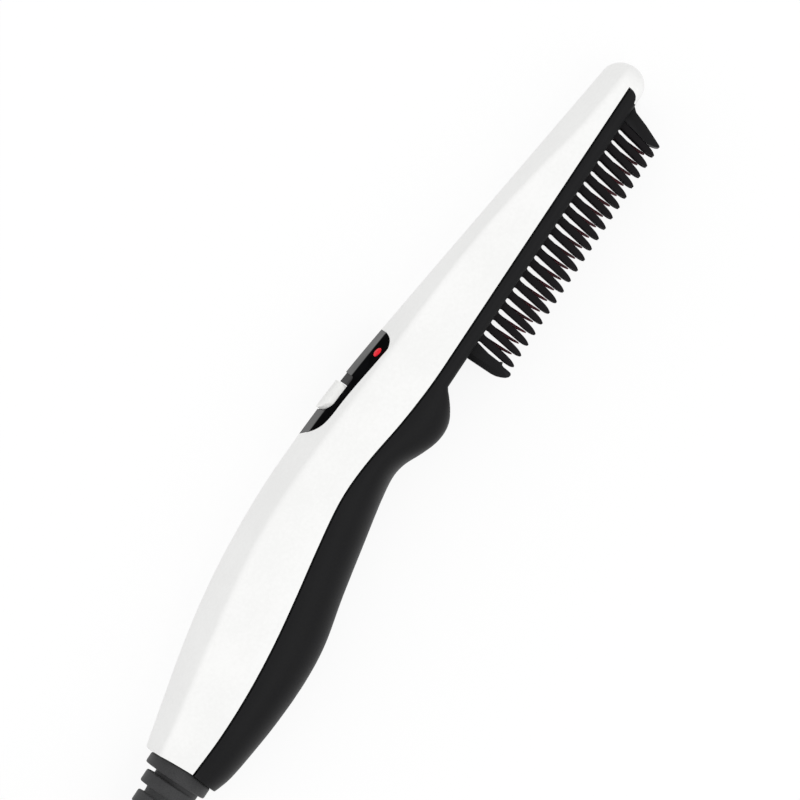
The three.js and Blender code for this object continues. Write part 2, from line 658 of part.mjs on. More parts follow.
const endToothReach = TOOTH_REACH + 0.6;
const handleToothSide = [
  [handleToothStart, ledge],
  [handleToothStart, 4.9 - endToothReach],
  [handleToothStart + 0.7, 2 - endToothReach],
  [handleToothStart + 2, -endToothReach],
  [handleToothStart + 2.8, 0.2 - endToothReach],
  [handleToothStart + 3.6, 3.4 - endToothReach],
  [handleToothStart + 4, 4.3 - endToothReach],
  [handleToothEnd, UNDERSIDE],
  [handleToothEnd, ledge],
];
const tipToothSide = [
  [tipToothStart, ledge],
  [tipToothStart, UNDERSIDE],
  [tipToothStart - 1.75, 4.3 - endToothReach],
  [tipToothStart - 1.6, 2.7 - endToothReach],
  [tipToothStart - 1.2, 1.3 - endToothReach],
  [tipToothStart - 0.8, 0.5 - endToothReach],
  [tipToothStart + 0.4, 2.8 - endToothReach],
  [tipToothStart + 2.3, 7.2 - endToothReach],
  [tipToothStart + 3.9, 11.8 - endToothReach],
  [tipToothEnd, UNDERSIDE + 0.4],
  [tipToothEnd - 1, ledge],
];

// An end tooth's outline from below: its outer corners are cut off
function endToothPlan(outerX, innerX) {
  const inward = Math.sign(innerX - outerX);
  const half = END_TOOTH_HALF_WIDTH;
  return [
    [outerX, -half + 1.7],
    [outerX + inward * 1.7, -half],
    [innerX, -half],
    [innerX, half],
    [outerX + inward * 1.7, half],
    [outerX, half - 1.7],
  ];
}

const handleEndTooth = common(
  alongZ(handleToothSide, -END_TOOTH_HALF_WIDTH, END_TOOTH_HALF_WIDTH),
  alongY(endToothPlan(handleToothStart, handleToothEnd + 1), -endToothReach - 1, ledge),
);
const tipEndTooth = common(
  alongZ(tipToothSide, -END_TOOTH_HALF_WIDTH, END_TOOTH_HALF_WIDTH),
  alongY(endToothPlan(tipToothEnd, tipToothStart - 3), -endToothReach - 1, ledge),
);

const clampUnderside = BOOT_MIDDLE + CORD_RADIUS + FIT;
const clampScrewPlaces = [CLAMP_SCREW_Z, -CLAMP_SCREW_Z];
const clampScrewHoles = clampScrewPlaces.map((z) =>
  rodY(CLAMP_X, clampUnderside - 9, clampUnderside + 6, z, SMALL_SCREW_RADIUS + FIT, 10));
const clampBosses = clampScrewPlaces.map((z) =>
  rodY(CLAMP_X, bellyLine(CLAMP_X), clampUnderside - FIT, z, SMALL_SCREW_RADIUS + FIT + BOSS_WALL, 10));
const [clampStart, clampEnd] = [CLAMP_X - CLAMP_LENGTH / 2, CLAMP_X + CLAMP_LENGTH / 2];
const saddleTop = BOOT_MIDDLE - CORD_RADIUS - FIT;
const cordSaddle = box(clampStart, clampEnd, bellyLine(CLAMP_X), saddleTop, -CLAMP_SCREW_Z, CLAMP_SCREW_Z);
const flangeEnd = WALL + FIT + BOOT_FLANGE_LENGTH;
const flangeRib = box(flangeEnd + FIT, flangeEnd + FIT + 1.5, -FAR_OUT, saddleTop - 2, -FAR_OUT, FAR_OUT);

const bottomShell = cut(
  joined(
    cut(common(outerBody, belowParting), cavity, combWindow),
    common(joined(...caseBosses.map(({ lower }) => lower), ...clampBosses, cordSaddle, flangeRib), bossSpace),
    cut(joined(handleEndTooth, tipEndTooth), aboveParting),
  ),
  ...caseBosses.map(({ headHole }) => headHole),
  ...caseBosses.map(({ shankHole }) => shankHole),
  ...clampScrewHoles,
  bootPassage,
);

add('top_shell', topShell, WHITE_PLASTIC);
add('bottom_shell', bottomShell, BLACK_PLASTIC);
add('switch_panel', switchPanel, GLOSS_BLACK);

// The slide knob: its top follows the panel, and a thin plate under the shell keeps it in its slot

const knobTail = SLOT_TAIL + FIT;
const knobTip = knobTail + KNOB_LENGTH;
const knobHalfWidth = SLOT_HALF_WIDTH - FIT;
const knobStem = alongY(slotShape(knobTail, knobTip, knobHalfWidth, SLOT_CORNER), slotFloor, FAR_OUT);
const knobRoof = bodySolid(-KNOB_PROUD, FACETED_ROOF);
const flangePlan = box(
  knobTail - KNOB_FLANGE_REACH, knobTip + KNOB_SHUTTER, slotFloor, FAR_OUT,
  -knobHalfWidth - KNOB_FLANGE_REACH, knobHalfWidth + KNOB_FLANGE_REACH,
);
const underFlange = cavitySolid(WALL + KNOB_PLAY + KNOB_FLANGE);
const knobFlange = cut(common(flangePlan, cavitySolid(WALL + KNOB_PLAY)), underFlange);
const leverEnd = LEVER_START + LEVER_LENGTH;
const leverSocket = box(
  LEVER_START - FIT, leverEnd + FIT, 0, LEVER_TOP + FIT,
  -LEVER_HALF_WIDTH - FIT, LEVER_HALF_WIDTH + FIT,
);
const knobTop = cut(common(knobStem, knobRoof), underFlange);
add('switch_knob', cut(joined(knobTop, knobFlange), leverSocket), KNOB_WHITE);

// The switch on the board

const switchWell = box(
  LEVER_START - FIT, leverEnd + KNOB_TRAVEL + FIT, LEVER_BOTTOM - FIT, FAR_OUT,
  -LEVER_HALF_WIDTH - FIT, LEVER_HALF_WIDTH + FIT,
);
const switchBody = box(
  SWITCH_START, SWITCH_START + SWITCH_LENGTH, BOARD_TOP + FIT, BOARD_TOP + SWITCH_HEIGHT,
  -SWITCH_HALF_WIDTH, SWITCH_HALF_WIDTH,
);
add('slide_switch', cut(switchBody, switchWell), STEEL);
add(
  'switch_lever',
  box(LEVER_START, leverEnd, LEVER_BOTTOM, LEVER_TOP, -LEVER_HALF_WIDTH, LEVER_HALF_WIDTH),
  COMB_BLACK,
);

// The circuit board with its parts, and the light pipe over the lamp

const boardPlate = box(
  BOARD_TAIL, BOARD_TIP, boardUnderside, BOARD_TOP, -BOARD_HALF_WIDTH, BOARD_HALF_WIDTH,
);
add('circuit_board', cut(boardPlate, ...boardScrewHoles), BOARD_GREEN);
add(
  'indicator_led',
  rodY(LAMP_X, BOARD_TOP + FIT, BOARD_TOP + FIT + LED_HEIGHT, LAMP_Z, LED_RADIUS),
  RED_LENS,
);
const lightPipe = rodY(LAMP_X, BOARD_TOP + FIT + LED_HEIGHT + FIT, FAR_OUT, LAMP_Z, LAMP_RADIUS);
add('indicator_window', common(lightPipe, facetedBody), RED_LENS);

// An axial part under the board: a round body with a straight lead at each end
function axialPart(x, z, length, radius) {
  const profile = [
    [x - PART_LEAD_LENGTH, PART_LEAD_RADIUS],
    [x, PART_LEAD_RADIUS],
    [x, radius],
    [x + length, radius],
    [x + length, PART_LEAD_RADIUS],
    [x + length + PART_LEAD_LENGTH, PART_LEAD_RADIUS],
  ];
  return turnedX(profile, boardUnderside - FIT - radius, z, 10);
}

const resistor = axialPart(BOARD_TAIL + RESISTOR_IN, RESISTOR_Z, RESISTOR_LENGTH, RESISTOR_RADIUS);
add('dropper_resistor', resistor, CERAMIC);
add('rectifier_diode', axialPart(BOARD_TAIL + DIODE_IN, DIODE_Z, DIODE_LENGTH, DIODE_RADIUS), BLACK_PLASTIC);
const capacitorStart = BOARD_TAIL + CAPACITOR_IN;
const capacitorTop = boardUnderside - FIT;
add(
  'film_capacitor',
  box(
    capacitorStart, capacitorStart + CAPACITOR_LENGTH, capacitorTop - CAPACITOR_HEIGHT, capacitorTop,
    CAPACITOR_EDGE, CAPACITOR_EDGE + CAPACITOR_WIDTH,
  ),
  FILM_AMBER,
);

// The guard combs: a strip with a lip that rests on the shell, and leaning teeth with slim tips

// A rectangle across X and Z at one height, as a ring
function levelRing(x, y, z, length, width) {
  const corners = [[1, 1], [1, -1], [-1, -1], [-1, 1]];
  return corners.map(([a, b]) => new THREE.Vector3(x + (a * length) / 2, y, z + (b * width) / 2));
}

const toothRoots = Array.from(
  { length: TOOTH_COUNT },
  (_, i) => COMB_START + TOOTH_WIDTH / 2 + i * TOOTH_PITCH,
);

function guardTooth(x, i) {
  const lean = TOOTH_LEAN + TOOTH_FAN * i;
  const at = (depth, length, width) => levelRing(x - lean * depth, -depth, GUARD_ROW, length, width);
  return solidOf(loft([
    at(-UNDERSIDE - 0.5, TOOTH_WIDTH, TOOTH_THICKNESS),
    at(0.75 * TOOTH_REACH, 2, 1.6),
    at(0.9 * TOOTH_REACH, 1.35, 1.2),
    at(TOOTH_REACH, 0.4, 0.5),
  ]));
}

const guardInner = HEATER_HALF_WIDTH + FIT;
const guardOuter = windowHalfWidth - FIT;
const heaterShelf = ledge - 0.2;
const lipTop = ledge + FIT + 1;
const guardSection = [
  [guardInner, UNDERSIDE],
  [guardOuter, UNDERSIDE],
  [guardOuter, ledge + FIT],
  [guardOuter + 1.1, ledge + FIT],
  [guardOuter + 1.1, lipTop],
  [HEATER_HALF_WIDTH + HEATER_LIP + FIT, lipTop],
  [HEATER_HALF_WIDTH + HEATER_LIP + FIT, heaterShelf],
  [guardInner, heaterShelf],
];
const guardComb = joined(
  alongX(guardSection, windowStart + FIT, windowEnd - FIT),
  ...toothRoots.map(guardTooth),
);
add('side_comb_near', guardComb, COMB_BLACK);
add('side_comb_far', guardComb.mirror([0, 0, 1]), COMB_BLACK);

// The heated comb: a channel for the heating element, with two rows of slim teeth under it. The leaning tooth
// at the tip end stands where one more heated tooth would be.

const heatedRoots = toothRoots.slice(0, -1);
const heaterStart = windowStart + 2 * FIT;
const heaterEnd = windowEnd - 2 * FIT;
const channelStart = heaterStart + HEATER_END;
const channelEnd = heaterEnd - HEATER_END;
const channelHalfWidth = HEATER_HALF_WIDTH - HEATER_SIDE;

function heaterTooth(x, i, z) {
  const lean = HEATER_TOOTH_LEAN + TOOTH_FAN * i;
  const at = (depth, length, width) =>
    levelRing(x + HEATER_TOOTH_SHIFT - lean * depth, -depth, z, length, width);
  return solidOf(loft([
    at(-HEATER_BASE - 0.5, HEATER_TOOTH_WIDTH, 1.5),
    at(0, HEATER_TOOTH_WIDTH * 0.97, 1.45),
    at(0.6 * HEATER_TOOTH_REACH, 1.1, 1),
    at(HEATER_TOOTH_REACH, 0.35, 0.35),
  ]));
}

const clampScrewXs = [heaterStart + CLAMP_SCREW_IN, heaterEnd - CLAMP_SCREW_IN];
const heaterScrewHoles = clampScrewXs.map((x) =>
  rodY(x, clampTop + FIT - HEATER_SCREW_LENGTH - FIT, FAR_OUT, 0, SMALL_SCREW_RADIUS + FIT, 10));
const heaterLip = box(
  heaterStart, heaterEnd, heaterShelf + FIT, heaterShelf + FIT + 1,
  -HEATER_HALF_WIDTH - HEATER_LIP, HEATER_HALF_WIDTH + HEATER_LIP,
);
const heaterComb = cut(
  joined(
    box(heaterStart, heaterEnd, HEATER_BASE, HEATER_TOP, -HEATER_HALF_WIDTH, HEATER_HALF_WIDTH),
    heaterLip,
    ...heatedRoots.flatMap((x, i) => [heaterTooth(x, i, HEATER_ROW), heaterTooth(x, i, -HEATER_ROW)]),
  ),
  box(channelStart, channelEnd, HEATER_FLOOR, FAR_OUT, -channelHalfWidth, channelHalfWidth),
  ...heaterScrewHoles,
);
add('heater_comb', heaterComb, HEATED_METAL);

// The heating element in its film, the clamp over it, and the thermal fuse on the clamp

const filmBottom = HEATER_FLOOR + FIT;
const filmTop = HEATER_TOP - FIT;
const filmHalfWidth = channelHalfWidth - FIT;
const elementMiddle = (filmBottom + filmTop) / 2;
const elementTop = elementMiddle + ELEMENT_THICKNESS / 2;
add(
  'ptc_heater',
  box(
    ELEMENT_START, ELEMENT_END, elementMiddle - ELEMENT_THICKNESS / 2, elementTop,
    -ELEMENT_HALF_WIDTH, ELEMENT_HALF_WIDTH,
  ),
  CERAMIC,
);
const filmOutside = box(
  ELEMENT_START + BARE_END, ELEMENT_END - BARE_END, filmBottom, filmTop, -filmHalfWidth, filmHalfWidth,
);
const filmInside = box(
  0, BODY_LENGTH, filmBottom + FILM_THICKNESS, filmTop - FILM_THICKNESS,
  FILM_THICKNESS - filmHalfWidth, filmHalfWidth - FILM_THICKNESS,
);
add('insulating_film', cut(filmOutside, filmInside), FILM_AMBER);

const leadHole = (x) => box(
  x - LEAD_HOLE_LENGTH / 2, x + LEAD_HOLE_LENGTH / 2, 0, FAR_OUT,
  -LEAD_HOLE_HALF_WIDTH, LEAD_HOLE_HALF_WIDTH,
);
const leadXs = [ELEMENT_START + 1.6, ELEMENT_END - 1.6];
add(
  'heater_clamp',
  cut(
    box(heaterStart, heaterEnd, HEATER_TOP + FIT, clampTop, -HEATER_HALF_WIDTH, HEATER_HALF_WIDTH),
    ...leadXs.map(leadHole),
    ...heaterScrewHoles,
  ),
  STEEL,
);

const fuseStart = ELEMENT_START + FUSE_IN;
const fuseHeight = clampTop + FIT + FUSE_RADIUS;
add('thermal_fuse', rodX(fuseStart, fuseStart + FUSE_LENGTH, fuseHeight, 0, FUSE_RADIUS), CERAMIC);

// The wires inside

const wire = (points) => tube(points, CORE_RADIUS, 8, 3 * points.length);
const boardSolder = boardUnderside - FIT;
const elementSolder = elementTop + FIT;
const fuseEnd = fuseStart + FUSE_LENGTH + FIT;
const [neutralLeadX, fuseLeadX] = leadXs;

const leadStart = BOARD_TIP - LEAD_IN;
const leadRun = COMB_START - leadStart;
const fuseRun = fuseStart - COMB_START;
const lastRun = fuseLeadX - fuseEnd;
const heaterLead = (side) => [
  [leadStart, boardSolder, side * LEAD_Z],
  [leadStart, boardSolder - 1.6, side * LEAD_Z],
  [leadStart + 1.4, LEAD_HEIGHT + 0.7, side * LEAD_Z * 0.97],
  [leadStart + 0.25 * leadRun, LEAD_HEIGHT, side * LEAD_Z * 0.86],
  [leadStart + 0.5 * leadRun, LEAD_HEIGHT + 0.1, side * LEAD_Z * 0.77],
  [leadStart + 0.84 * leadRun, LEAD_HEIGHT + 0.9, side * LEAD_Z * 0.65],
];
add('heater_lead_live', wire([
  ...heaterLead(1),
  [COMB_START + 0.17 * fuseRun, clampTop + 1.5, LEAD_Z * 0.56],
  [COMB_START + 0.41 * fuseRun, fuseHeight - 0.2, LEAD_Z * 0.3],
  [COMB_START + 0.66 * fuseRun, fuseHeight, 0.6],
  [COMB_START + 0.83 * fuseRun, fuseHeight, 0],
  [fuseStart - FIT, fuseHeight, 0],
]), WIRE_BROWN);
add('fuse_lead', wire([
  [fuseEnd, fuseHeight, 0],
  [fuseEnd + 3, fuseHeight, 0],
  [fuseEnd + 0.45 * lastRun, fuseHeight - 0.4, 0],
  [fuseEnd + 0.83 * lastRun, fuseHeight - 0.4, 0],
  [fuseLeadX - 1, fuseHeight - 1, 0],
  [fuseLeadX, clampTop - 0.1, 0],
  [fuseLeadX, elementSolder, 0],
]), WIRE_BROWN);
add('heater_lead_neutral', wire([
  ...heaterLead(-1),
  [COMB_START + 2.5, clampTop + 1.6, -LEAD_Z * 0.5],
  [neutralLeadX - 1.4, clampTop + 1.4, -1.8],
  [neutralLeadX, clampTop - 0.1, -1.2],
  [neutralLeadX, elementSolder, -1.2],
]), WIRE_BLUE);

const mainsWireEnd = BOARD_TAIL + LEAD_IN;
const mainsWire = (side) => wire([
  [SHEATH_END + FIT, BOOT_MIDDLE, side * 1.2],
  [SHEATH_END + 2, BOOT_MIDDLE, side * 1.2],
  [SHEATH_END + 7, BOOT_MIDDLE + 0.3, side * LEAD_Z * 0.48],
  [SHEATH_END + 12, BOOT_MIDDLE + 0.5, side * LEAD_Z * 0.74],
  [SHEATH_END + 20, BOOT_MIDDLE + 0.7, side * LEAD_Z * 0.8],
  [mainsWireEnd - 48, BOOT_MIDDLE + 1.5, side * LEAD_Z * 0.85],
  [mainsWireEnd - 28, BOOT_MIDDLE + 2.7, side * LEAD_Z * 0.95],
  [mainsWireEnd - 12, BOOT_MIDDLE + 3.3, side * LEAD_Z * 1.03],
  [mainsWireEnd - 4, LEAD_HEIGHT - 0.7, side * LEAD_Z * 1.01],
  [mainsWireEnd - 0.5, LEAD_HEIGHT + 0.9, side * LEAD_Z],
  [mainsWireEnd, boardSolder - 1.6, side * LEAD_Z],
  [mainsWireEnd, boardSolder, side * LEAD_Z],
]);
add('mains_wire_live', mainsWire(1), WIRE_BROWN);
add('mains_wire_neutral', mainsWire(-1), WIRE_BLUE);

// The strain relief, a ribbed boot moulded onto the cord, and the clamp that holds the cord inside

const ribsStart = -FIT - BOOT_COLLAR_LENGTH - BOOT_COLLAR_GROOVE;
const ribsEnd = ribsStart - (BOOT_RIB_COUNT - 1) * BOOT_RIB_PITCH - BOOT_RIB_LENGTH;
const bootEnd = ribsEnd - BOOT_NOSE_LENGTH;

function strainRelief() {
  const core = (x) => THREE.MathUtils.mapLinear(x, ribsStart, ribsEnd, BOOT_CORE_RADIUS, BOOT_NOSE_RADIUS);
  const profile = [
    [flangeEnd, BOOT_FLANGE_RADIUS],
    [WALL + FIT, BOOT_FLANGE_RADIUS],
    [WALL + FIT, BOOT_NECK_RADIUS],
    [-FIT, BOOT_NECK_RADIUS],
    [-FIT, BOOT_COLLAR_RADIUS - 0.5],
    [-FIT - 0.5, BOOT_COLLAR_RADIUS],
    [0.5 - FIT - BOOT_COLLAR_LENGTH, BOOT_COLLAR_RADIUS],
    [-FIT - BOOT_COLLAR_LENGTH, BOOT_COLLAR_RADIUS - 0.5],
    [-FIT - BOOT_COLLAR_LENGTH, BOOT_CORE_RADIUS],
  ];
  for (let rib = 0; rib < BOOT_RIB_COUNT; rib++) {
    const start = ribsStart - rib * BOOT_RIB_PITCH;
    const end = start - BOOT_RIB_LENGTH;
    const radius = BOOT_RIB_RADIUS - rib * BOOT_RIB_SHRINK;
    profile.push([start, core(start)], [start, radius - 0.4], [start - 0.4, radius]);
    profile.push([end + 0.4, radius], [end, radius - 0.4], [end, core(end)]);
  }
  profile.push([bootEnd, BOOT_NOSE_RADIUS]);
  return turnedX(profile, BOOT_MIDDLE, 0, 16);
}

add('strain_relief', strainRelief(), RUBBER);
const innerCordStart = flangeEnd + FIT;
add('cord_inner_end', rodX(innerCordStart, SHEATH_END, BOOT_MIDDLE, 0, CORD_RADIUS), CORD_BLACK);

const clampHalfWidth = CLAMP_SCREW_Z + SMALL_SCREW_HEAD_RADIUS + 1;
const cordClamp = box(
  clampStart, clampEnd, clampUnderside, clampUnderside + CLAMP_BAR, -clampHalfWidth, clampHalfWidth,
);
const clampBarHoles = clampScrewPlaces.map((z) => rodY(CLAMP_X, 0, FAR_OUT, z, SMALL_SCREW_RADIUS + FIT, 10));
add('cord_clamp', cut(cordClamp, ...clampBarHoles), BLACK_PLASTIC);

// The screws

const caseScrew = (length) => screwGeometry(SCREW_RADIUS, SCREW_HEAD_RADIUS, SCREW_HEAD_HEIGHT, length);
const smallScrew = (length) =>
  screwGeometry(SMALL_SCREW_RADIUS, SMALL_SCREW_HEAD_RADIUS, SMALL_SCREW_HEAD_HEIGHT, length);

for (const { name, x, length, seat } of caseBosses) {
  add(name, caseScrew(length).rotateX(Math.PI).translate(x, seat - FIT, 0), STEEL);
}
const boardScrewNames = ['board_screw_tail', 'board_screw_tip'];
boardScrewPlaces.forEach((x, i) => {
  const screw = smallScrew(SMALL_SCREW_LENGTH).rotateX(Math.PI);
  add(boardScrewNames[i], screw.translate(x, boardUnderside - FIT, BOARD_POST_Z), STEEL);
});
const cordClampScrewNames = ['cord_clamp_screw_near', 'cord_clamp_screw_far'];
clampScrewPlaces.forEach((z, i) => {
  const seat = clampUnderside + CLAMP_BAR + FIT;
  add(cordClampScrewNames[i], smallScrew(SMALL_SCREW_LENGTH).translate(CLAMP_X, seat, z), STEEL);
});
const heaterScrewNames = ['heater_screw_tail', 'heater_screw_tip'];
clampScrewXs.forEach((x, i) => {
  add(heaterScrewNames[i], smallScrew(HEATER_SCREW_LENGTH).translate(x, clampTop + FIT, 0), STEEL);
});

// The cord: straight out of the boot, up onto the hank, round and down through its layers, and on to the plug

const hankLoops = HANK_LAYERS * LAYER_LOOPS;
const hankWaist = (HANK_NEAR_END + HANK_FAR_END) / 2;

// Half the width of the loop after a number of turns: it is least after the first layer and after the third
function loopRadius(turn) {
  const fromLeast = Math.min(Math.abs(turn - LAYER_LOOPS), Math.abs(turn - 3 * LAYER_LOOPS));
  return HANK_INNER_RADIUS + HANK_STEP * fromLeast;
}

// The height of the cord's middle over the floor after a number of turns: each layer starts along a run
function loopHeight(turn) {
  let layer = HANK_LAYERS - 1;
  for (let change = 1; change < HANK_LAYERS; change++) {
    const place = change * LAYER_LOOPS;
    layer -= THREE.MathUtils.smoothstep(turn, place - 1 / 8, place + 1 / 8);
  }
  return CORD_RADIUS + HANK_LAYER * layer;
}

// One eighth of a turn each side of a whole number of turns is the run away from the tail
function hankPoint(turn) {
  const radius = loopRadius(turn);
  const quarter = (turn + 1 / 8) * 4;
  const part = ((Math.floor(quarter) % 4) + 4) % 4;
  const share = quarter - Math.floor(quarter);
  const angle = share * Math.PI;
  const [x, y] = [
    [THREE.MathUtils.lerp(HANK_NEAR_END, HANK_FAR_END, share), -radius],
    [HANK_FAR_END - radius * Math.sin(angle), -radius * Math.cos(angle)],
    [THREE.MathUtils.lerp(HANK_FAR_END, HANK_NEAR_END, share), radius],
    [HANK_NEAR_END + radius * Math.sin(angle), radius * Math.cos(angle)],
  ][part];
  const tied = Math.exp(-(((x - hankWaist) / HANK_WAIST_WIDTH) ** 2));
  const height = loopHeight(turn) + TIE_LIFT * tied;
  return [x, HANK_MIDDLE + y * (1 - HANK_WAIST * tied), FLOOR + height];
}

// The last turn ends with a run away from the tail, and both ends go on straight for a cord's diameter
function hankRoute(stepsPerTurn) {
  const count = (hankLoops + 1 / 4) * stepsPerTurn;
  const route = Array.from({ length: count + 1 }, (_, i) => hankPoint(i / stepsPerTurn - 1 / 8));
  const [[x0, y0, z0], [x1, y1, z1]] = [route[0], route[count]];
  return [[x0 + 2 * CORD_RADIUS, y0, z0], ...route, [x1 - 2 * CORD_RADIUS, y1, z1]];
}

// A round skin along a route that never points up or down
function roundSkin(route, radius, sides) {
  const points = route.map((point) => new THREE.Vector3(...point));
  const up = new THREE.Vector3(0, 0, 1);
  const rings = points.map((point, i) => {
    const before = points[Math.max(i - 1, 0)];
    const after = points[Math.min(i + 1, points.length - 1)];
    const across = after.clone().sub(before).cross(up).normalize();
    const upright = across.clone().cross(after.clone().sub(before)).normalize();
    return Array.from({ length: sides }, (_, side) => {
      const angle = (side / sides) * 2 * Math.PI;
      const sideways = across.clone().multiplyScalar(radius * Math.cos(angle));
      return point.clone().add(sideways).addScaledVector(upright, radius * Math.sin(angle));
    });
  });
  return loft(rings);
}

const hankStart = hankRoute(LOOP_STEPS)[0];
const hankEnd = hankRoute(LOOP_STEPS).pop();
const [plugSleeveEnd, plugCordHeight] = [PLUG_NEAR_FACE + PLUG_SLEEVE_LENGTH, FLOOR + PLUG_CORD_HEIGHT];

const [hankStartX, hankStartY, hankStartZ] = hankStart;
const [hankEndX, hankEndY, hankEndZ] = hankEnd;
const tailRoute = [
  [bootEnd - JOINT_GAP, BOOT_MIDDLE, 0],
  [-39, BOOT_MIDDLE, 0],
  [-43, 2.81, 0.15],
  [-47, 1.73, 0.49],
  [-51, 0.02, 1.03],
  [-55, -2.31, 1.76],
  [-59, -4.64, 2.49],
  [-63, -6.35, 3.03],
  [-67, -7.43, 3.37],
  [hankStartX + 1.5, hankStartY, hankStartZ],
  [hankStartX + JOINT_GAP, hankStartY, hankStartZ],
];
const plugRoute = [
  [hankEndX - JOINT_GAP, hankEndY, hankEndZ],
  [hankEndX - 1, hankEndY, hankEndZ],
  [-162, -7.47, -12.84],
  [-166, -6.33, -12.47],
  [-170, -4.48, -11.87],
  [-174, -1.92, -11.04],
  [-178, 1.34, -9.99],
  [-182, 4.6, -8.94],
  [-186, 7.16, -8.11],
  [-190, 9.01, -7.51],
  [-194, 10.15, -7.14],
  [plugSleeveEnd + 1.5, PLUG_MIDDLE, plugCordHeight],
  [plugSleeveEnd + FIT, PLUG_MIDDLE, plugCordHeight],
];
add('mains_cord', tube(tailRoute, CORD_RADIUS, CORD_SIDES, 16), CORD_BLACK);
add('cord_hank', solidOf(roundSkin(hankRoute(LOOP_STEPS), CORD_RADIUS, HANK_SIDES)), CORD_BLACK);
add('cord_to_plug', tube(plugRoute, CORD_RADIUS, CORD_SIDES, 16), CORD_BLACK);

// The tie round the hank's waist: a flat strap, as a ring of rounded outlines
function tieOutline(grow) {
  const narrow = 1 - HANK_WAIST;
  const low = HANK_MIDDLE - loopRadius(0) * narrow - CORD_RADIUS - FIT - grow;
  const high = HANK_MIDDLE + loopRadius(1 / 2) * narrow + CORD_RADIUS + FIT + grow;
  const bottom = FLOOR + TIE_THICKNESS - grow;
  const top = FLOOR + loopHeight(0) + CORD_RADIUS + TIE_LIFT + FIT + grow;
  const corner = 2 + grow;
  const soft = corner * 0.3;
  return [
    [bottom, low + corner], [bottom + soft, low + soft], [bottom + corner, low],
    [top - corner, low], [top - soft, low + soft], [top, low + corner],
    [top, high - corner], [top - soft, high - soft], [top - corner, high],
    [bottom + corner, high], [bottom + soft, high - soft], [bottom, high - corner],
  ];
}

const [tieStart, tieEnd] = [hankWaist - TIE_WIDTH / 2, hankWaist + TIE_WIDTH / 2];
const tieHole = alongX(tieOutline(0), tieStart - 1, tieEnd + 1);
add('cord_tie', cut(alongX(tieOutline(TIE_THICKNESS), tieStart, tieEnd), tieHole), CORD_BLACK);

// The plug, with flat pins for a British socket, on its back with the pins up

const plugEnd = PLUG_NEAR_FACE - PLUG_LENGTH;
const plugTop = FLOOR + PLUG_THICKNESS;
const pinLine = PLUG_NEAR_FACE - PIN_LINE;

function plugOutline(margin) {
  const half = PLUG_WIDTH / 2 - margin;
  const [near, far] = [PLUG_NEAR_FACE - margin, plugEnd + margin];
  const upper = [
    [near, half - 13],
    [near - 6, half - 5],
    [near - 16, half],
    [far + 12, half - 1],
    [far, half - 10],
  ];
  const lower = upper.slice().reverse().map(([x, y]) => [x, -y]);
  return [...upper, ...lower].map(([x, y]) => [x, PLUG_MIDDLE + y]);
}

function pinHole(x, y, length, width) {
  return box(
    x - length / 2 - FIT, x + length / 2 + FIT, y - width / 2 - FIT, y + width / 2 + FIT,
    plugTop - PIN_SEAT - FIT, FAR_OUT,
  );
}

const flatPin = { x: pinLine, across: PIN_WIDTH, along: PIN_THICKNESS };
const earthPin = { x: pinLine - PIN_SPACING, across: EARTH_WIDTH, along: EARTH_LENGTH };
const pins = [
  { name: 'plug_pin_live', y: PLUG_MIDDLE + PIN_SPACING / 2, ...flatPin },
  { name: 'plug_pin_neutral', y: PLUG_MIDDLE - PIN_SPACING / 2, ...flatPin },
  { name: 'plug_pin_earth', y: PLUG_MIDDLE, ...earthPin },
];
const fuseCarrierStart = PLUG_NEAR_FACE - 3.5;
const fuseCarrierEnd = fuseCarrierStart - FUSE_CARRIER_LENGTH;
const carrierPocket = box(
  fuseCarrierEnd - FIT, fuseCarrierStart + FIT, PLUG_MIDDLE - FUSE_CARRIER_HALF_WIDTH - FIT,
  PLUG_MIDDLE + FUSE_CARRIER_HALF_WIDTH + FIT, plugTop - FUSE_CARRIER_THICKNESS - FIT, FAR_OUT,
);
const fuseMiddle = (fuseCarrierStart + fuseCarrierEnd) / 2;
const plugFuseHeight = plugTop - FUSE_CARRIER_THICKNESS - 2 * FIT - PLUG_FUSE_RADIUS;
const fusePocket = box(
  fuseMiddle - PLUG_FUSE_LENGTH / 2 - FIT, fuseMiddle + PLUG_FUSE_LENGTH / 2 + FIT,
  PLUG_MIDDLE - PLUG_FUSE_RADIUS - FIT, PLUG_MIDDLE + PLUG_FUSE_RADIUS + FIT,
  plugFuseHeight - PLUG_FUSE_RADIUS - FIT, FAR_OUT,
);

const plugBody = cut(
  joined(
    alongZ(plugOutline(1.5), FLOOR, FLOOR + 3),
    alongZ(plugOutline(0), FLOOR + 2, plugTop - 1.2),
    alongZ(plugOutline(1.2), plugTop - 3, plugTop),
  ),
  ...pins.map(({ x, y, across, along }) => pinHole(x, y, along, across)),
  carrierPocket,
  fusePocket,
);
add('plug_body', plugBody, BLACK_PLASTIC);

function pinGeometry(x, y, along, across, reach) {
  const ring = (z, inward) => [[1, 1], [-1, 1], [-1, -1], [1, -1]].map(([a, b]) =>
    new THREE.Vector3(x + a * (along / 2 - inward), y + b * (across / 2 - inward), z));
  const [bottom, top] = [plugTop - PIN_SEAT, plugTop + reach];
  return solidOf(loft([ring(bottom, 0), ring(top - 1.5, 0), ring(top, 0.9)]));
}

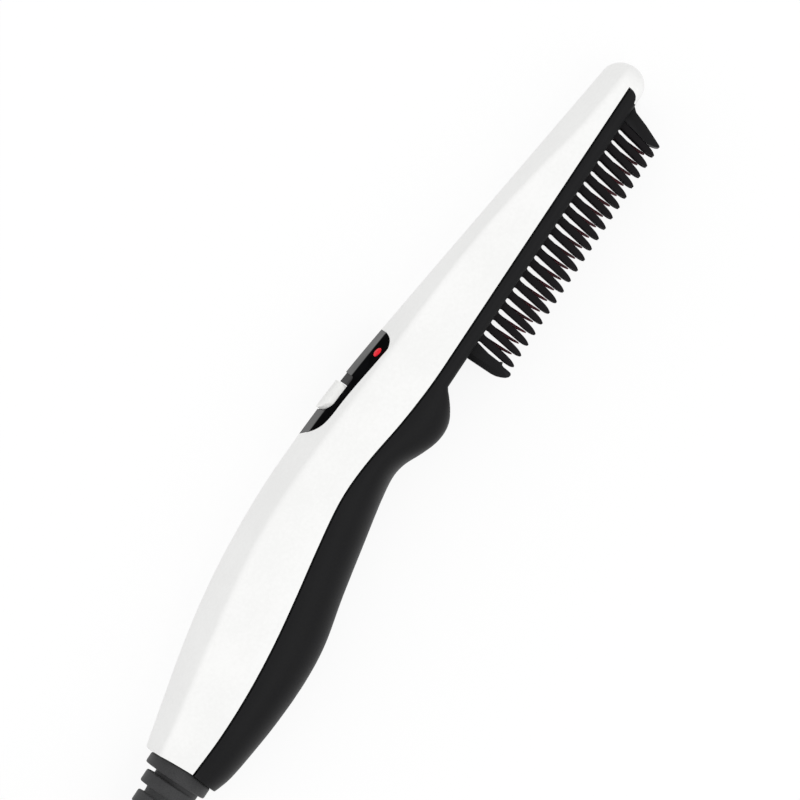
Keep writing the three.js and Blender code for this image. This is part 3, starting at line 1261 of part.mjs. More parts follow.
for (const { name, x, y, across, along } of pins) {
  const reach = name === 'plug_pin_earth' ? EARTH_REACH : PIN_REACH;
  add(name, pinGeometry(x, y, along, across, reach), BRASS);
}
add(
  'fuse_carrier',
  box(
    fuseCarrierEnd, fuseCarrierStart, PLUG_MIDDLE - FUSE_CARRIER_HALF_WIDTH,
    PLUG_MIDDLE + FUSE_CARRIER_HALF_WIDTH, plugTop - FUSE_CARRIER_THICKNESS, plugTop,
  ),
  CREAM,
);
add(
  'plug_fuse',
  rodX(
    fuseMiddle - PLUG_FUSE_LENGTH / 2, fuseMiddle + PLUG_FUSE_LENGTH / 2, PLUG_MIDDLE, plugFuseHeight,
    PLUG_FUSE_RADIUS,
  ),
  CERAMIC,
);
const sleeveProfile = [
  [PLUG_NEAR_FACE + FIT, PLUG_SLEEVE_RADIUS],
  [PLUG_NEAR_FACE + 0.4 * PLUG_SLEEVE_LENGTH, PLUG_SLEEVE_RADIUS - 0.5],
  [plugSleeveEnd - 1, CORD_RADIUS + 0.9],
  [plugSleeveEnd, CORD_RADIUS + 0.5],
];
add('plug_sleeve', turnedX(sleeveProfile, PLUG_MIDDLE, plugCordHeight, 16), RUBBER);

// The lengths and the least gap of the cord, for the record

const measured = (route, count) =>
  new THREE.CatmullRomCurve3(route.map((point) => new THREE.Vector3(...point))).getSpacedPoints(count);

function routeLength(points) {
  let length = 0;
  for (let i = 1; i < points.length; i++) length += points[i].distanceTo(points[i - 1]);
  return length;
}

function leastGap(points, others, apart) {
  let least = Infinity;
  for (let i = 0; i < points.length; i++) {
    for (let j = apart === 0 ? 0 : i + apart; j < others.length; j++) {
      least = Math.min(least, points[i].distanceTo(others[j]));
    }
  }
  return least - 2 * CORD_RADIUS;
}

const hankPoints = hankRoute(4 * LOOP_STEPS).map((point) => new THREE.Vector3(...point));
const ROUTE_SAMPLES = 100;
const tailPoints = measured(tailRoute, ROUTE_SAMPLES);
const plugPoints = measured(plugRoute, ROUTE_SAMPLES);
const cordLength = [tailPoints, hankPoints, plugPoints].reduce((sum, points) => sum + routeLength(points), 0);
const pastJoint = 30;
const hankGap = leastGap(hankPoints, hankPoints, 2 * LOOP_STEPS);
console.log(`cord ${cordLength.toFixed(0)} mm, hank turns at least ${hankGap.toFixed(2)} mm apart`);
console.log(`tail cord to hank ${leastGap(tailPoints, hankPoints.slice(pastJoint), 0).toFixed(2)} mm`);
console.log(`plug cord to hank ${leastGap(plugPoints, hankPoints.slice(0, -pastJoint), 0).toFixed(2)} mm`);

// The object stands on z = 0, centred on the styler without its cord

const CORD_PIECES = ['mains_cord', 'cord_hank', 'cord_tie', 'cord_to_plug'];
const handPiece = new THREE.Box3();
styler.children
  .filter(({ name }) => !CORD_PIECES.includes(name) && !name.startsWith('plug_') && name !== 'fuse_carrier')
  .forEach((mesh) => handPiece.expandByObject(mesh));
const middle = handPiece.getCenter(new THREE.Vector3());
styler.position.set(-middle.x, -middle.y, -FLOOR);
console.log(`drawing moved by ${styler.position.toArray().map((value) => value.toFixed(3)).join(', ')}`);

object.name = 'hair_straightening_comb';
export default object;
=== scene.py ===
# %% [markdown]
# A hair straightening comb in Blender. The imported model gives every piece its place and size. This script
# dresses it: it builds a finer mesh for what shows, gives each surface a material made of nodes, and lights
# the whole. Sizes are written in millimetres, from the tail face, the comb line and the middle plane of the
# styler, because that is how its drawing is measured. One function turns such a place into a point of the
# frame, in metres.

import json
import math

import bpy
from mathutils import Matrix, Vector


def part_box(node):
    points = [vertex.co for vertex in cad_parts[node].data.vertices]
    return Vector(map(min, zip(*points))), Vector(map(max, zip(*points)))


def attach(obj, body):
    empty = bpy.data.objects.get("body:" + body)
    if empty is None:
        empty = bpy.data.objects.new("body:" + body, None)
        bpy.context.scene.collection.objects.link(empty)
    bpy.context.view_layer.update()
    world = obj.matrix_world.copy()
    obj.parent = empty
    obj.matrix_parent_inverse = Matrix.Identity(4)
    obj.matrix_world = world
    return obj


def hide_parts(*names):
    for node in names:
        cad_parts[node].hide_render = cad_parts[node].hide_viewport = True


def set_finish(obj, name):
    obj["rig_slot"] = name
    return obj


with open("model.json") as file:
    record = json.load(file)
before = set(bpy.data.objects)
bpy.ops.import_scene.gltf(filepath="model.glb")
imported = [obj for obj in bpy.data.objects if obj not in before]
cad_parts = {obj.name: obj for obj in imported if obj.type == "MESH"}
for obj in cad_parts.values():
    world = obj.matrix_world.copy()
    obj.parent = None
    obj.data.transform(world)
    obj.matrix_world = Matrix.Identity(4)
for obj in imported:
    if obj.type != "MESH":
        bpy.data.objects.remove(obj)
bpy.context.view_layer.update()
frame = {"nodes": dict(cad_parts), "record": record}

MM = 0.001
HALF_THICKNESS = 15.5
COMB_REACH = 12.3
tail_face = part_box("top_shell")[0].x
comb_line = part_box("side_comb_near")[0].y + COMB_REACH * MM
middle_plane = HALF_THICKNESS * MM


def at(x, y, z):
    """A place on the drawing, in millimetres, as a point of the frame."""
    return Vector((tail_face + x * MM, comb_line + y * MM, middle_plane + z * MM))


print("tail face at", round(tail_face, 4), "and comb line at", round(comb_line, 4))

# %% [markdown]
# The photograph looks square at the styler's side. The styler lies on its other side, so the camera hangs
# above it and looks down, turned so that the tip points up and to the right. A camera far away with a long
# lens gives the flat perspective of a catalogue picture.

# %% The camera
PICTURE_WIDTH = 232.0
CAMERA_HEIGHT = 3.2
CAMERA_TURN = -56.4
PICTURE_MIDDLE = (124.5, 9.8)
SENSOR_WIDTH = 36


def new_object(name, data):
    """An object in the scene, from a camera, a lamp or a mesh."""
    thing = bpy.data.objects.new(name, data)
    bpy.context.scene.collection.objects.link(thing)
    return thing


camera = new_object("camera", bpy.data.cameras.new("camera"))
bpy.context.scene.camera = camera
camera.location = at(*PICTURE_MIDDLE, 0) + Vector((0, 0, CAMERA_HEIGHT))
camera.rotation_euler = (0, 0, math.radians(CAMERA_TURN))
camera.data.sensor_width = SENSOR_WIDTH
camera.data.lens = SENSOR_WIDTH * CAMERA_HEIGHT / (PICTURE_WIDTH * MM)
camera.data.clip_start = 0.05
camera.data.clip_end = 20
print("lens", round(camera.data.lens, 1), "mm")

# %% [markdown]
# ## The cord's route
# The cord leaves the boot straight, climbs onto its hank, goes round in four layers and runs on to the
# plug. The free stretches are listed points, and the hank comes from a formula. It is settled first,
# because a cord has a real length, and that length has to go somewhere. Two small helpers come before it,
# since a shape often has to lie between two others.

# %% Between two values
def smooth_step(value, low, high):
    """0 below low, 1 above high, and an even ease between them."""
    share = min(max((value - low) / (high - low), 0), 1)
    return share * share * (3 - 2 * share)


def mix(a, b, share):
    """A value between two values."""
    return a + (b - a) * share


print("between 2 and 4 lies", mix(2, 4, 0.5), "and a quarter of a way is eased to", smooth_step(0.25, 0, 1))

# %% [markdown]
# The hank lies in four layers, from the top one down. On each layer the cord goes round one and a half
# times, inwards on one and outwards on the next, so its loops lie beside each other. The tie draws the
# loops in at the waist, and lifts them a little, because the strap passes underneath.

# %% The hank
CORD_RADIUS = 2.5
FLOOR = -HALF_THICKNESS
HANK_LAYERS = 4
LAYER_LOOPS = 1.5
HANK_STEP = 6.0
HANK_LAYER = 5.5
HANK_INNER_RADIUS = 15
HANK_WAIST = 0.09
HANK_WAIST_WIDTH = 18
HANK_NEAR_END = -78
HANK_FAR_END = -152.2
HANK_MIDDLE = 16.8
LOOP_STEPS = 48
HALF_QUARTER = 1 / 8
TIE_LIFT = 1.1

hank_loops = HANK_LAYERS * LAYER_LOOPS
hank_waist = (HANK_NEAR_END + HANK_FAR_END) / 2


def loop_radius(turn):
    """Half the width of the loop after a number of turns."""
    return HANK_INNER_RADIUS + HANK_STEP * min(abs(turn - LAYER_LOOPS), abs(turn - 3 * LAYER_LOOPS))


def loop_height(turn):
    """The height of the cord's middle over the floor after a number of turns."""
    changes = [change * LAYER_LOOPS for change in range(1, HANK_LAYERS)]
    below = sum(smooth_step(turn, change - HALF_QUARTER, change + HALF_QUARTER) for change in changes)
    return CORD_RADIUS + HANK_LAYER * (HANK_LAYERS - 1 - below)


def hank_point(turn):
    """A place on the hank: the run away from the tail, the far fold, the run back, or the near fold."""
    radius = loop_radius(turn)
    quarter = (turn + HALF_QUARTER) * 4
    share = quarter % 1
    angle = share * math.pi
    x, y = (
        (mix(HANK_NEAR_END, HANK_FAR_END, share), -radius),
        (HANK_FAR_END - radius * math.sin(angle), -radius * math.cos(angle)),
        (mix(HANK_FAR_END, HANK_NEAR_END, share), radius),
        (HANK_NEAR_END + radius * math.sin(angle), radius * math.cos(angle)),
    )[int(quarter // 1) % 4]
    tied = math.exp(-(((x - hank_waist) / HANK_WAIST_WIDTH) ** 2))
    height = loop_height(turn) + TIE_LIFT * tied
    return (x, HANK_MIDDLE + y * (1 - HANK_WAIST * tied), FLOOR + height)


hank_steps = int((hank_loops + 2 * HALF_QUARTER) * LOOP_STEPS)
hank_points = [hank_point(step / LOOP_STEPS - HALF_QUARTER) for step in range(hank_steps + 1)]
print("the hank goes round", hank_loops + 2 * HALF_QUARTER, "times, in", HANK_LAYERS, "layers")

# %% [markdown]
# Two free stretches are left: from the boot to the start of the hank, and from its end to the plug. Both
# leave and arrive straight, as a cord does where it is moulded into something, and bend widely in between.

# %% The free stretches
BOOT_END = -36.3
BOOT_MIDDLE = 3.3
SLEEVE_END = -200
PLUG_MIDDLE = 10.6
PLUG_CORD_HEIGHT = 8.5

first_x, first_y, first_z = hank_points[0]
last_x, last_y, last_z = hank_points[-1]
plug_cord_z = FLOOR + PLUG_CORD_HEIGHT
tail_points = [
    (BOOT_END, BOOT_MIDDLE, 0),
    (-39, BOOT_MIDDLE, 0),
    (-43, 2.81, 0.15),
    (-47, 1.73, 0.49),
    (-51, 0.02, 1.03),
    (-55, -2.31, 1.76),
    (-59, -4.64, 2.49),
    (-63, -6.35, 3.03),
    (-67, -7.43, 3.37),
    (first_x + 6.5, first_y, first_z),
    (first_x + 5, first_y, first_z),
]
plug_points = [
    (last_x - 5, last_y, last_z),
    (last_x - 6, last_y, last_z),
    (-162, -7.47, -12.84),
    (-166, -6.33, -12.47),
    (-170, -4.48, -11.87),
    (-174, -1.92, -11.04),
    (-178, 1.34, -9.99),
    (-182, 4.6, -8.94),
    (-186, 7.16, -8.11),
    (-190, 9.01, -7.51),
    (-194, 10.15, -7.14),
    (SLEEVE_END + 1.5, PLUG_MIDDLE, plug_cord_z),
    (SLEEVE_END, PLUG_MIDDLE, plug_cord_z),
]
cord_route = tail_points + hank_points + plug_points
cord_steps = [(Vector(b) - Vector(a)).length for a, b in zip(cord_route, cord_route[1:])]
print("the cord is", round(sum(cord_steps)), "mm long, in", len(cord_route), "points")

# %% [markdown]
# ## Meshes from rings
# A moulded part has no flat boxes in it: its section changes all the way along. The simplest way to make
# such a part is a loft, which is a row of rings with as many points each and a skin of quads between them.
# Where two parts meet or a part has a hole, a boolean modifier cuts one closed mesh with another, as a
# moulder's tool would.

# %% Steps, circles and corners
def spread(start, end, count):
    """Equal steps from one place to another, without the last."""
    return [start + (end - start) * step / count for step in range(count)]


def circle(radius, count=32):
    """A circle as pairs of numbers."""
    return [(radius * math.cos(turn), radius * math.sin(turn)) for turn in spread(0, 2 * math.pi, count)]


def corner_arc(x, y, radius, first, step):
    """A quarter of a circle round a place, from a number of degrees on."""
    turns = [math.radians(degrees) for degrees in range(first, first + 91, step)]
    return [(x + radius * math.cos(turn), y + radius * math.sin(turn)) for turn in turns]


print("a circle has", len(circle(1)), "points, and five steps from 0 to 1 are", spread(0, 1, 5))

# %% [markdown]
# A boolean only works on a closed skin whose faces all look outward. So the skin's volume is measured, and
# where it comes out negative the faces are turned over. That leaves each outline free to go round either
# way.

# %% Skins over rings
def outward(vertices, faces):
    """The faces of a closed skin, turned over if it encloses a volume less than nothing."""
    volume = 0
    for face in faces:
        a = Vector(vertices[face[0]])
        for i in range(1, len(face) - 1):
            volume += a.dot(Vector(vertices[face[i]]).cross(Vector(vertices[face[i + 1]])))
    return faces if volume > 0 else [tuple(reversed(face)) for face in faces]


def new_piece(name, vertices, faces):
    """An object from places on the drawing and faces."""
    mesh = bpy.data.meshes.new(name)
    mesh.from_pydata([at(*vertex) for vertex in vertices], [], faces)
    return new_object(name, mesh)


def skin(rings, closed=False):
    """The points and faces of a skin over rings. Its ends are flat, unless the last ring meets the first."""
    count = len(rings[0])
    vertices = [place for ring in rings for place in ring]
    faces = []
    for ring in range(len(rings) if closed else len(rings) - 1):
        low = ring * count
        high = (ring + 1) % len(rings) * count
        for side in range(count):
            beside = (side + 1) % count
            faces.append((low + side, low + beside, high + beside, high + side))
    if not closed:
        last = len(vertices) - count
        faces.append(tuple(reversed(range(count))))
        faces.append(tuple(range(last, last + count)))
    return vertices, outward(vertices, faces)


wedge_points, wedge_faces = skin([[(0, 0, z), (1, 0, z), (0, 1, z)] for z in (0, 1)])
print("a wedge has", len(wedge_points), "points and", len(wedge_faces), "faces")

# %% [markdown]
# A piece is one skin over a row of rings, or several skins in one mesh. An outline that is drawn out along
# one direction is the shortest loft there is, with only two rings.

# %% Lofts
def loft(name, rings, closed=False):
    """A piece with one skin over rings of places on the drawing."""
    return new_piece(name, *skin(rings, closed))


def lofts(name, parts):
    """A piece of several closed skins in one mesh, such as the teeth of a comb."""
    vertices = []
    faces = []
    for rings in parts:
        more_vertices, more_faces = skin(rings)
        faces += [tuple(len(vertices) + index for index in face) for face in more_faces]
        vertices += more_vertices
    return new_piece(name, vertices, faces)


def along_z(name, outline, low, high):
    """An outline of x and y, drawn out along Z."""
    return loft(name, [[(x, y, z) for x, y in outline] for z in (low, high)])


def along_y(name, outline, low, high):
    """An outline of x and z, drawn out along Y."""
    return loft(name, [[(x, y, z) for x, z in outline] for y in (low, high)])


def along_x(name, outline, low, high):
    """An outline of z and y, drawn out along X."""
    return loft(name, [[(x, y, z) for z, y in outline] for x in (low, high)])


print("before the first loft there are", len(bpy.data.meshes), "meshes")

# %% [markdown]
# Modifiers are applied at once, one after another, because the next cut needs the mesh that the last one
# left. Of Blender's ways to cut, the exact one is slower, but it also works where two faces touch.

# %% Cutting and joining
CUT_SOLVER = "EXACT"


def apply_modifiers(piece):
    """Makes the modifiers part of the mesh."""
    whole = piece.evaluated_get(bpy.context.evaluated_depsgraph_get())
    mesh = bpy.data.meshes.new_from_object(whole)
    plain = piece.data
    piece.modifiers.clear()
    piece.data = mesh
    bpy.data.meshes.remove(plain)


def combine(piece, other, operation):
    """Cuts, joins or crops a piece with another closed mesh, and uses that mesh up."""
    change = piece.modifiers.new("combine", "BOOLEAN")
    change.operation = operation
    change.solver = CUT_SOLVER
    change.object = other
    apply_modifiers(piece)
    bpy.data.objects.remove(other)


def cut(piece, *others):
    """Takes other meshes away from a piece."""
    for other in others:
        combine(piece, other, "DIFFERENCE")


def crop(piece, other):
    """Keeps what a piece and another mesh share."""
    combine(piece, other, "INTERSECT")
    return piece


def join(piece, *others):
    """Makes a piece and other meshes one."""
    for other in others:
        combine(piece, other, "UNION")


print("meshes are cut with the", CUT_SOLVER, "solver")

# %% [markdown]
# Edges are rounded with a bevel where a finger or a highlight would find them. Smooth shading does the
# rest, apart from edges that are meant to be sharp. A piece is then dressed: it is told which body carries
# it, whose finish it has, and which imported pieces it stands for.

# %% Edges, shading and dressing
EDGE_STEPS = 3


def soft_edges(piece, width, angle=35):
    """Rounds the sharp edges, because no moulded edge is quite sharp."""
    change = piece.modifiers.new("soft edges", "BEVEL")
    change.width = width * MM
    change.segments = EDGE_STEPS
    change.limit_method = "ANGLE"
    change.angle_limit = math.radians(angle)
    apply_modifiers(piece)
    return piece


def smooth(piece, angle=32):
    """Smooth shading, apart from edges that are sharper than an angle."""
    piece.data.shade_smooth()
    piece.data.set_sharp_from_angle(angle=math.radians(angle))
    return piece


def dress(piece, slot, *nodes, body="housing"):
    """Says which body carries a piece, whose finish it has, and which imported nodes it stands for."""
    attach(piece, body)
    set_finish(piece, slot)
    if nodes:
        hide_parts(*nodes)
    print(piece.name, "has", len(piece.data.vertices), "points")
    return piece


print("a soft edge is rounded in", EDGE_STEPS, "steps")

# %% [markdown]
# ## The cord
# A cord could be a curve with a round bevel, but a mesh of rings takes its finish and its grain like every
# other piece. Each ring stands square to the route. The next ring's directions are the last one's, turned
# as little as the route turns, so the skin never twists.

# %% A round skin along a route
CORD_SIDES = 20


def even_points(points, spacing):
    """The same route with a point at every step, along a smooth curve through the given points."""
    places = [Vector(point) for point in points]
    result = []
    for i in range(len(places) - 1):
        before = places[max(i - 1, 0)]
        start, end = places[i], places[i + 1]
        after = places[min(i + 2, len(places) - 1)]
        reach = (end - start).length
        early = (end - before).normalized() * reach
        late = (after - start).normalized() * reach
        count = max(1, round(reach / spacing))
        for step in range(count):
            t = step / count
            share = t * t * (3 - 2 * t)
            place = start + (end - start) * share
            place += early * t * (1 - t) ** 2 - late * t * t * (1 - t)
            result.append(tuple(place))
    result.append(tuple(places[-1]))
    return result


def skin_rings(route, radius, sides):
    """Rings of places round a route."""
    places = [Vector(point) for point in route]
    rings = []
    across = Vector((0, 0, 1))
    for i, place in enumerate(places):
        along = (places[min(i + 1, len(places) - 1)] - places[max(i - 1, 0)]).normalized()
        across = (across - along * across.dot(along)).normalized()
        beside = along.cross(across)
        rings.append([tuple(place + across * a + beside * b) for a, b in circle(radius, sides)])
    return rings


smooth_route = even_points(tail_points, 2) + hank_points + even_points(plug_points, 2)
whole_cord = smooth(loft("whole_cord", skin_rings(smooth_route, CORD_RADIUS, CORD_SIDES)), 50)
dress(whole_cord, "cord_jacket", "mains_cord", "cord_hank", "cord_to_plug")

# %% [markdown]
# ## The body's lines
# The styler's body is drawn with lines seen from its side. Each line goes smoothly through a few measured
# places. A place is given by its share of the handle's or the head's length, and its height, so the body
# can be made longer or shorter without measuring again.

# %% Lines through measured places
HANDLE_LENGTH = 135.3
HEAD_LENGTH = 107.2
NOSE_LENGTH = 6.4

body_length = HANDLE_LENGTH + HEAD_LENGTH
nose_start = body_length - NOSE_LENGTH


def line_through(points):
    """A smooth line through [x, height] points. Each slope comes from the two neighbours."""
    last = len(points) - 1

    def slope(i):
        (x0, y0), (x1, y1) = points[max(i - 1, 0)], points[min(i + 1, last)]
        return (y1 - y0) / (x1 - x0)

    def height(x):
        i = 0
        while i < last - 1 and x > points[i + 1][0]:
            i += 1
        (x0, y0), (x1, y1) = points[i], points[i + 1]
        span = x1 - x0
        t = min(max((x - x0) / span, 0), 1)
        rise = t * t * (3 - 2 * t)
        early, late = slope(i) * span, slope(i + 1) * span
        return y0 + (y1 - y0) * rise + early * t * (1 - t) ** 2 - late * t * t * (1 - t)

    return height


def in_handle(*points):
    """Places whose share of the handle's length is given."""
    return [(share * HANDLE_LENGTH, height) for share, height in points]


def in_head(*points):
    """Places whose share of the head's length is given."""
    return [(HANDLE_LENGTH + share * HEAD_LENGTH, height) for share, height in points]


print("the body is", body_length, "mm long")

# %% [markdown]
# Four lines are enough: the back, the crease where the roof meets the flat side, the parting between the
# two shells, and the belly. The belly needs the most places, because it has the finger hook in it.

# %% The four lines
UNDERSIDE = 0.3

back_line = line_through(
    in_handle((0, 15.5), (0.11, 19.2), (0.22, 22.8), (0.33, 25.7), (0.44, 27.7), (0.59, 29), (0.74, 28.75))
    + in_handle((0.88, 27.65), (1, 26))
    + in_head((0.5, 19.45), (1, 12.9))
)
crease_line = line_through(
    in_handle((0, 10.8), (0.07, 12.1), (0.33, 18.4), (0.49, 21.6), (0.65, 22.4), (1, 20))
    + in_head((0.37, 17.6), (0.64, 13.1), (0.79, 9.9), (1, 7.6))
)
parting_line = line_through(
    in_handle((0, -0.5), (0.11, -1.2), (0.22, -0.8), (0.33, 0.6), (0.44, 2.85), (0.55, 5.45), (0.65, 7.5))
    + in_handle((0.71, 7.9), (0.78, 7.3), (0.88, 5.55), (0.97, 4.57))
    + in_head((0.05, 4.35), (1, 4.35))
)
belly_line = line_through(
    in_handle((0, -8.2), (0.04, -9.9), (0.11, -11.2), (0.2, -12.3), (0.3, -12.6), (0.39, -11.5))
    + in_handle((0.5, -8), (0.62, -4.6), (0.72, -1.85), (0.775, -0.9), (0.81, -1.65), (0.85, -4.05))
    + in_handle((0.885, -5.75), (0.914, -6.2), (0.94, -5.55), (0.965, -3.6), (0.985, -1.4), (1, UNDERSIDE))
    + in_head((0.02, UNDERSIDE), (1, UNDERSIDE))
)
print("the back is", back_line(80), "mm high at x = 80, and the belly", belly_line(80))

# %% [markdown]
# ## A cross-section
# From the ridge, the roof falls in a shallow arch to a soft crease. The side is flat down to the parting
# line, and the belly rounds under it. The thickness, the turn of the belly and the fall of the roof are
# worked out first, each by a helper of its own.

# %% Thickness, belly and roof
TAIL_HALF_THICKNESS = 12.5
TIP_HALF_THICKNESS = 13.2
FLAT_SIDE_START = 26
BELLY_ROUND = 0.85
HOOK_ROUND = 0.62
HEAD_EDGE = 2.6
ROOF_CURVE = 1.4


def half_thickness(x):
    """From the middle plane to the flat side."""
    if x < FLAT_SIDE_START:
        turn = math.sin(x / FLAT_SIDE_START * math.pi / 2)
        return TAIL_HALF_THICKNESS + (HALF_THICKNESS - TAIL_HALF_THICKNESS) * turn
    share = max(0, (x - HANDLE_LENGTH) / HEAD_LENGTH)
    return HALF_THICKNESS - (HALF_THICKNESS - TIP_HALF_THICKNESS) * share ** 1.2


def belly_round(x):
    """How far in from the flat side the belly starts to turn: sooner at the hook, and hardly at the head."""
    to_hook = smooth_step(x, 0.76 * HANDLE_LENGTH, 0.88 * HANDLE_LENGTH)
    to_head = smooth_step(x, 0.93 * HANDLE_LENGTH, HANDLE_LENGTH)
    return mix(mix(BELLY_ROUND, HOOK_ROUND, to_hook) * half_thickness(x), HEAD_EDGE, to_head)


def roof_drop(share, facet):
    """How far the roof has fallen, as a share of its whole fall. A facet is a flat strip beside the ridge."""
    if share < facet:
        return facet ** ROOF_CURVE * share / facet
    return share ** ROOF_CURVE


tip_half_thickness = round(half_thickness(body_length), 1)
print("half the thickness is", half_thickness(0), "mm at the tail and", tip_half_thickness, "at the tip")

# %% [markdown]
# A ring of many points follows the section. Near the nose the ring shrinks, quickly at the very end, which
# closes the body with a round tip. The same ring with an inset is the inside of the wall, and with a facet
# its roof is flat beside the ridge, as the panel's top is.

# %% The ring of the body
NOSE_MIDDLE = 7.1
ROOF_EDGE = 0.93
CREASE_DROP = 1.2
BELLY_DROP = 1.2
ROOF_POINTS = 18
EDGE_POINTS = 5
BELLY_POINTS = 12
NOSE_SQUARENESS = 2.4
LEAST_BELLY = 0.3
FACET_ROUNDING = 0.012
SIDE_MARGIN = 0.08


def body_ring(x, inset=0.0, facet=0.0):
    """One cross-section, from the ridge round by +Z and back."""
    early = min(x, nose_start)
    nose = max(0, (x - nose_start) / NOSE_LENGTH)
    rounding = math.sqrt(1 - nose * nose)
    narrow = (1 - nose ** NOSE_SQUARENESS) ** (1 / NOSE_SQUARENESS)
    ridge, crease, belly, side_end = [
        NOSE_MIDDLE + (y - NOSE_MIDDLE) * rounding
        for y in (back_line(early), crease_line(early), belly_line(early), parting_line(early) - BELLY_DROP)
    ]
    wide = half_thickness(early) * narrow - inset
    edge = max(belly_round(early) * narrow - inset, LEAST_BELLY)
    bottom = belly + inset
    depth = max(side_end - bottom, LEAST_BELLY)

    shares = [step / ROOF_POINTS * ROOF_EDGE for step in range(1, ROOF_POINTS + 1)]
    if facet:
        shares = [share for share in shares if abs(share - facet) > 2.5 * FACET_ROUNDING]
        shares = sorted(shares + [facet - FACET_ROUNDING, facet + FACET_ROUNDING])
    side = [(wide * share, ridge - inset - (ridge - crease) * roof_drop(share, facet)) for share in shares]
    start, end = side[-1], (wide, crease - CREASE_DROP * rounding - inset)
    corner = (wide, crease - inset)
    for step in range(1, EDGE_POINTS + 1):
        t = step / EDGE_POINTS
        side.append(tuple(
            a * (1 - t) ** 2 + b * 2 * t * (1 - t) + c * t * t for a, b, c in zip(start, corner, end)
        ))
    for share in (SIDE_MARGIN, 1 - SIDE_MARGIN):
        side.append((wide, mix(end[1], bottom + depth, share)))
    for step in range(BELLY_POINTS + 1):
        angle = step / BELLY_POINTS * math.pi / 2
        side.append((wide - edge + edge * math.cos(angle), bottom + depth * (1 - math.sin(angle))))
    near = [(x, y, z) for z, y in side]
    far = [(x, y, -z) for z, y in reversed(side)]
    return [(x, ridge - inset, 0), *near, *far]


print("a ring has", len(body_ring(50)), "points")

# %% [markdown]
# The outer body is a loft of such rings, closest together at the hook and at the nose, where it bends most.
# Its first rings are smaller, which rounds the tail's edge. The same loft further in is the space inside
# the shells, and needs fewer rings, because nobody sees it.

# %% The body as a solid
HOOK_START = 0.76
TAIL_ROUND = 0.8
TAIL_RINGS = [(0, 0.7), (0.25, 0.25)]
NOSE_SHARES = (0, 0.15, 0.3, 0.42, 0.54, 0.64, 0.73, 0.8, 0.86, 0.91, 0.95, 0.975, 0.99, 0.998)
hook_start = HOOK_START * HANDLE_LENGTH


def body_places(start, end, counts):
    """Places along the body, with counts of them before the hook, at the hook and in the head."""
    before_hook, at_hook, past_hook = counts
    places = spread(start, hook_start, before_hook) + spread(hook_start, HANDLE_LENGTH, at_hook)
    return places + spread(HANDLE_LENGTH, end, past_hook)


def body_solid(name, inset=0.0, facet=0.0):
    """The whole outer body, or the same body some depth further in. Its tail edge is rounded."""
    places = body_places(TAIL_ROUND, nose_start, (56, 34, 40))
    places += [nose_start + share * NOSE_LENGTH for share in NOSE_SHARES]
    rings = []
    for tail_x, smaller in TAIL_RINGS:
        rings.append([(tail_x, y, z) for _, y, z in body_ring(TAIL_ROUND, inset + smaller, facet)])
    return loft(name, rings + [body_ring(x, inset, facet) for x in places])


def core(name, start, end, depth, counts):
    """The body under a depth, between two places, with flat ends."""
    return loft(name, [body_ring(x, depth) for x in body_places(start, end, counts) + [end]])


def cavity_solid(name, inset):
    """The space inside both shells."""
    return core(name, inset, nose_start - inset, inset, (20, 16, 10))


print("the tail's edge is rounded over", TAIL_ROUND, "mm, and the nose over", NOSE_LENGTH, "mm")

# %% [markdown]
# ## The two shells
# The white upper housing and the black lower one are one body, parted along a line that climbs from the
# tail, falls again over the finger hook and runs along the head. A tool drawn along that line cuts both,
# and leaves a thin shadow gap between them. A tongue on the black shell stands in a rebate of the white one
# behind that gap, so no light shines through. At the tip the white shell wraps round the end of the comb's
# underside.

# %% Tools that part the shells
PARTING_LIFT = 0.3
PARTING_DROP = 0.35
TONGUE_DEPTH = 1.3
TONGUE_HEIGHT = 1.2
TONGUE_FIT = 0.15
BEHIND_TAIL = -5
FAR_OUT = 60
SEAM_TOP = nose_start + 0.3
SEAM_GAP = 0.1
SEAM_LOW = 3
SEAM_STEPS = 110
TONGUE_START = 2.6
TONGUE_END = nose_start - 0.3


def under_parting(name, drop):
    """The space under the parting line, moved down a little. At the tip it ends in a curve under the nose."""
    straight = HANDLE_LENGTH + 0.05 * HEAD_LENGTH
    places = spread(BEHIND_TAIL, straight, SEAM_STEPS) + [straight]
    line = [(x, parting_line(max(x, 0)) - drop) for x in places]
    level = parting_line(body_length) - drop
    seam = [(0, level), (-0.12, mix(level, SEAM_LOW, 0.5)), (-0.3, SEAM_LOW)]
    seam += [(-0.68, 2.2), (-1.2, 1.6), (-2.1, 1.1), (-3.2, 0.84)]
    seam_top = SEAM_TOP - math.copysign(SEAM_GAP / 2, drop)
    moved = [(seam_top + x, y) for x, y in seam]
    under = [(seam_top + seam[-1][0], -FAR_OUT), (BEHIND_TAIL, -FAR_OUT)]
    return along_z(name, line + moved + under, -FAR_OUT, FAR_OUT)


def wall_core(name, depth):
    """The body under its skin, as far as the tongue goes."""
    return core(name, TONGUE_START, TONGUE_END, depth, (50, 30, 24))


print("the shells part", parting_line(0), "mm high at the tail and", parting_line(body_length), "at the tip")

# %% [markdown]
# The shells end at the tail in a slightly arched face, which the boot's collar lies against. A block with
# one arched side cuts them there. The holes for the boot's neck, the lamp and the screws are cut with plain
# round rods.

# %% Tools for the tail and for holes
WALL = 2.4
FIT = 0.3
TAIL_LOW = -9
TAIL_HIGH = 14.5
BOOT_NECK_RADIUS = 7.4
tail_edge = line_through([
    (TAIL_LOW, 0.2), (-5, 0.6), (-0.5, 1.1), (3, 1), (8, 0.7), (12, 0.3), (TAIL_HIGH, 0), (17, 0),
])


def tail_tool():
    """The space behind the shells' tail face, which is slightly arched."""
    edge = [(tail_edge(y), y) for y in spread(TAIL_LOW, TAIL_HIGH, 24)]
    outline = [(BEHIND_TAIL, TAIL_LOW), *edge, (BEHIND_TAIL, TAIL_HIGH)]
    return along_z("tail tool", outline, -FAR_OUT, FAR_OUT)


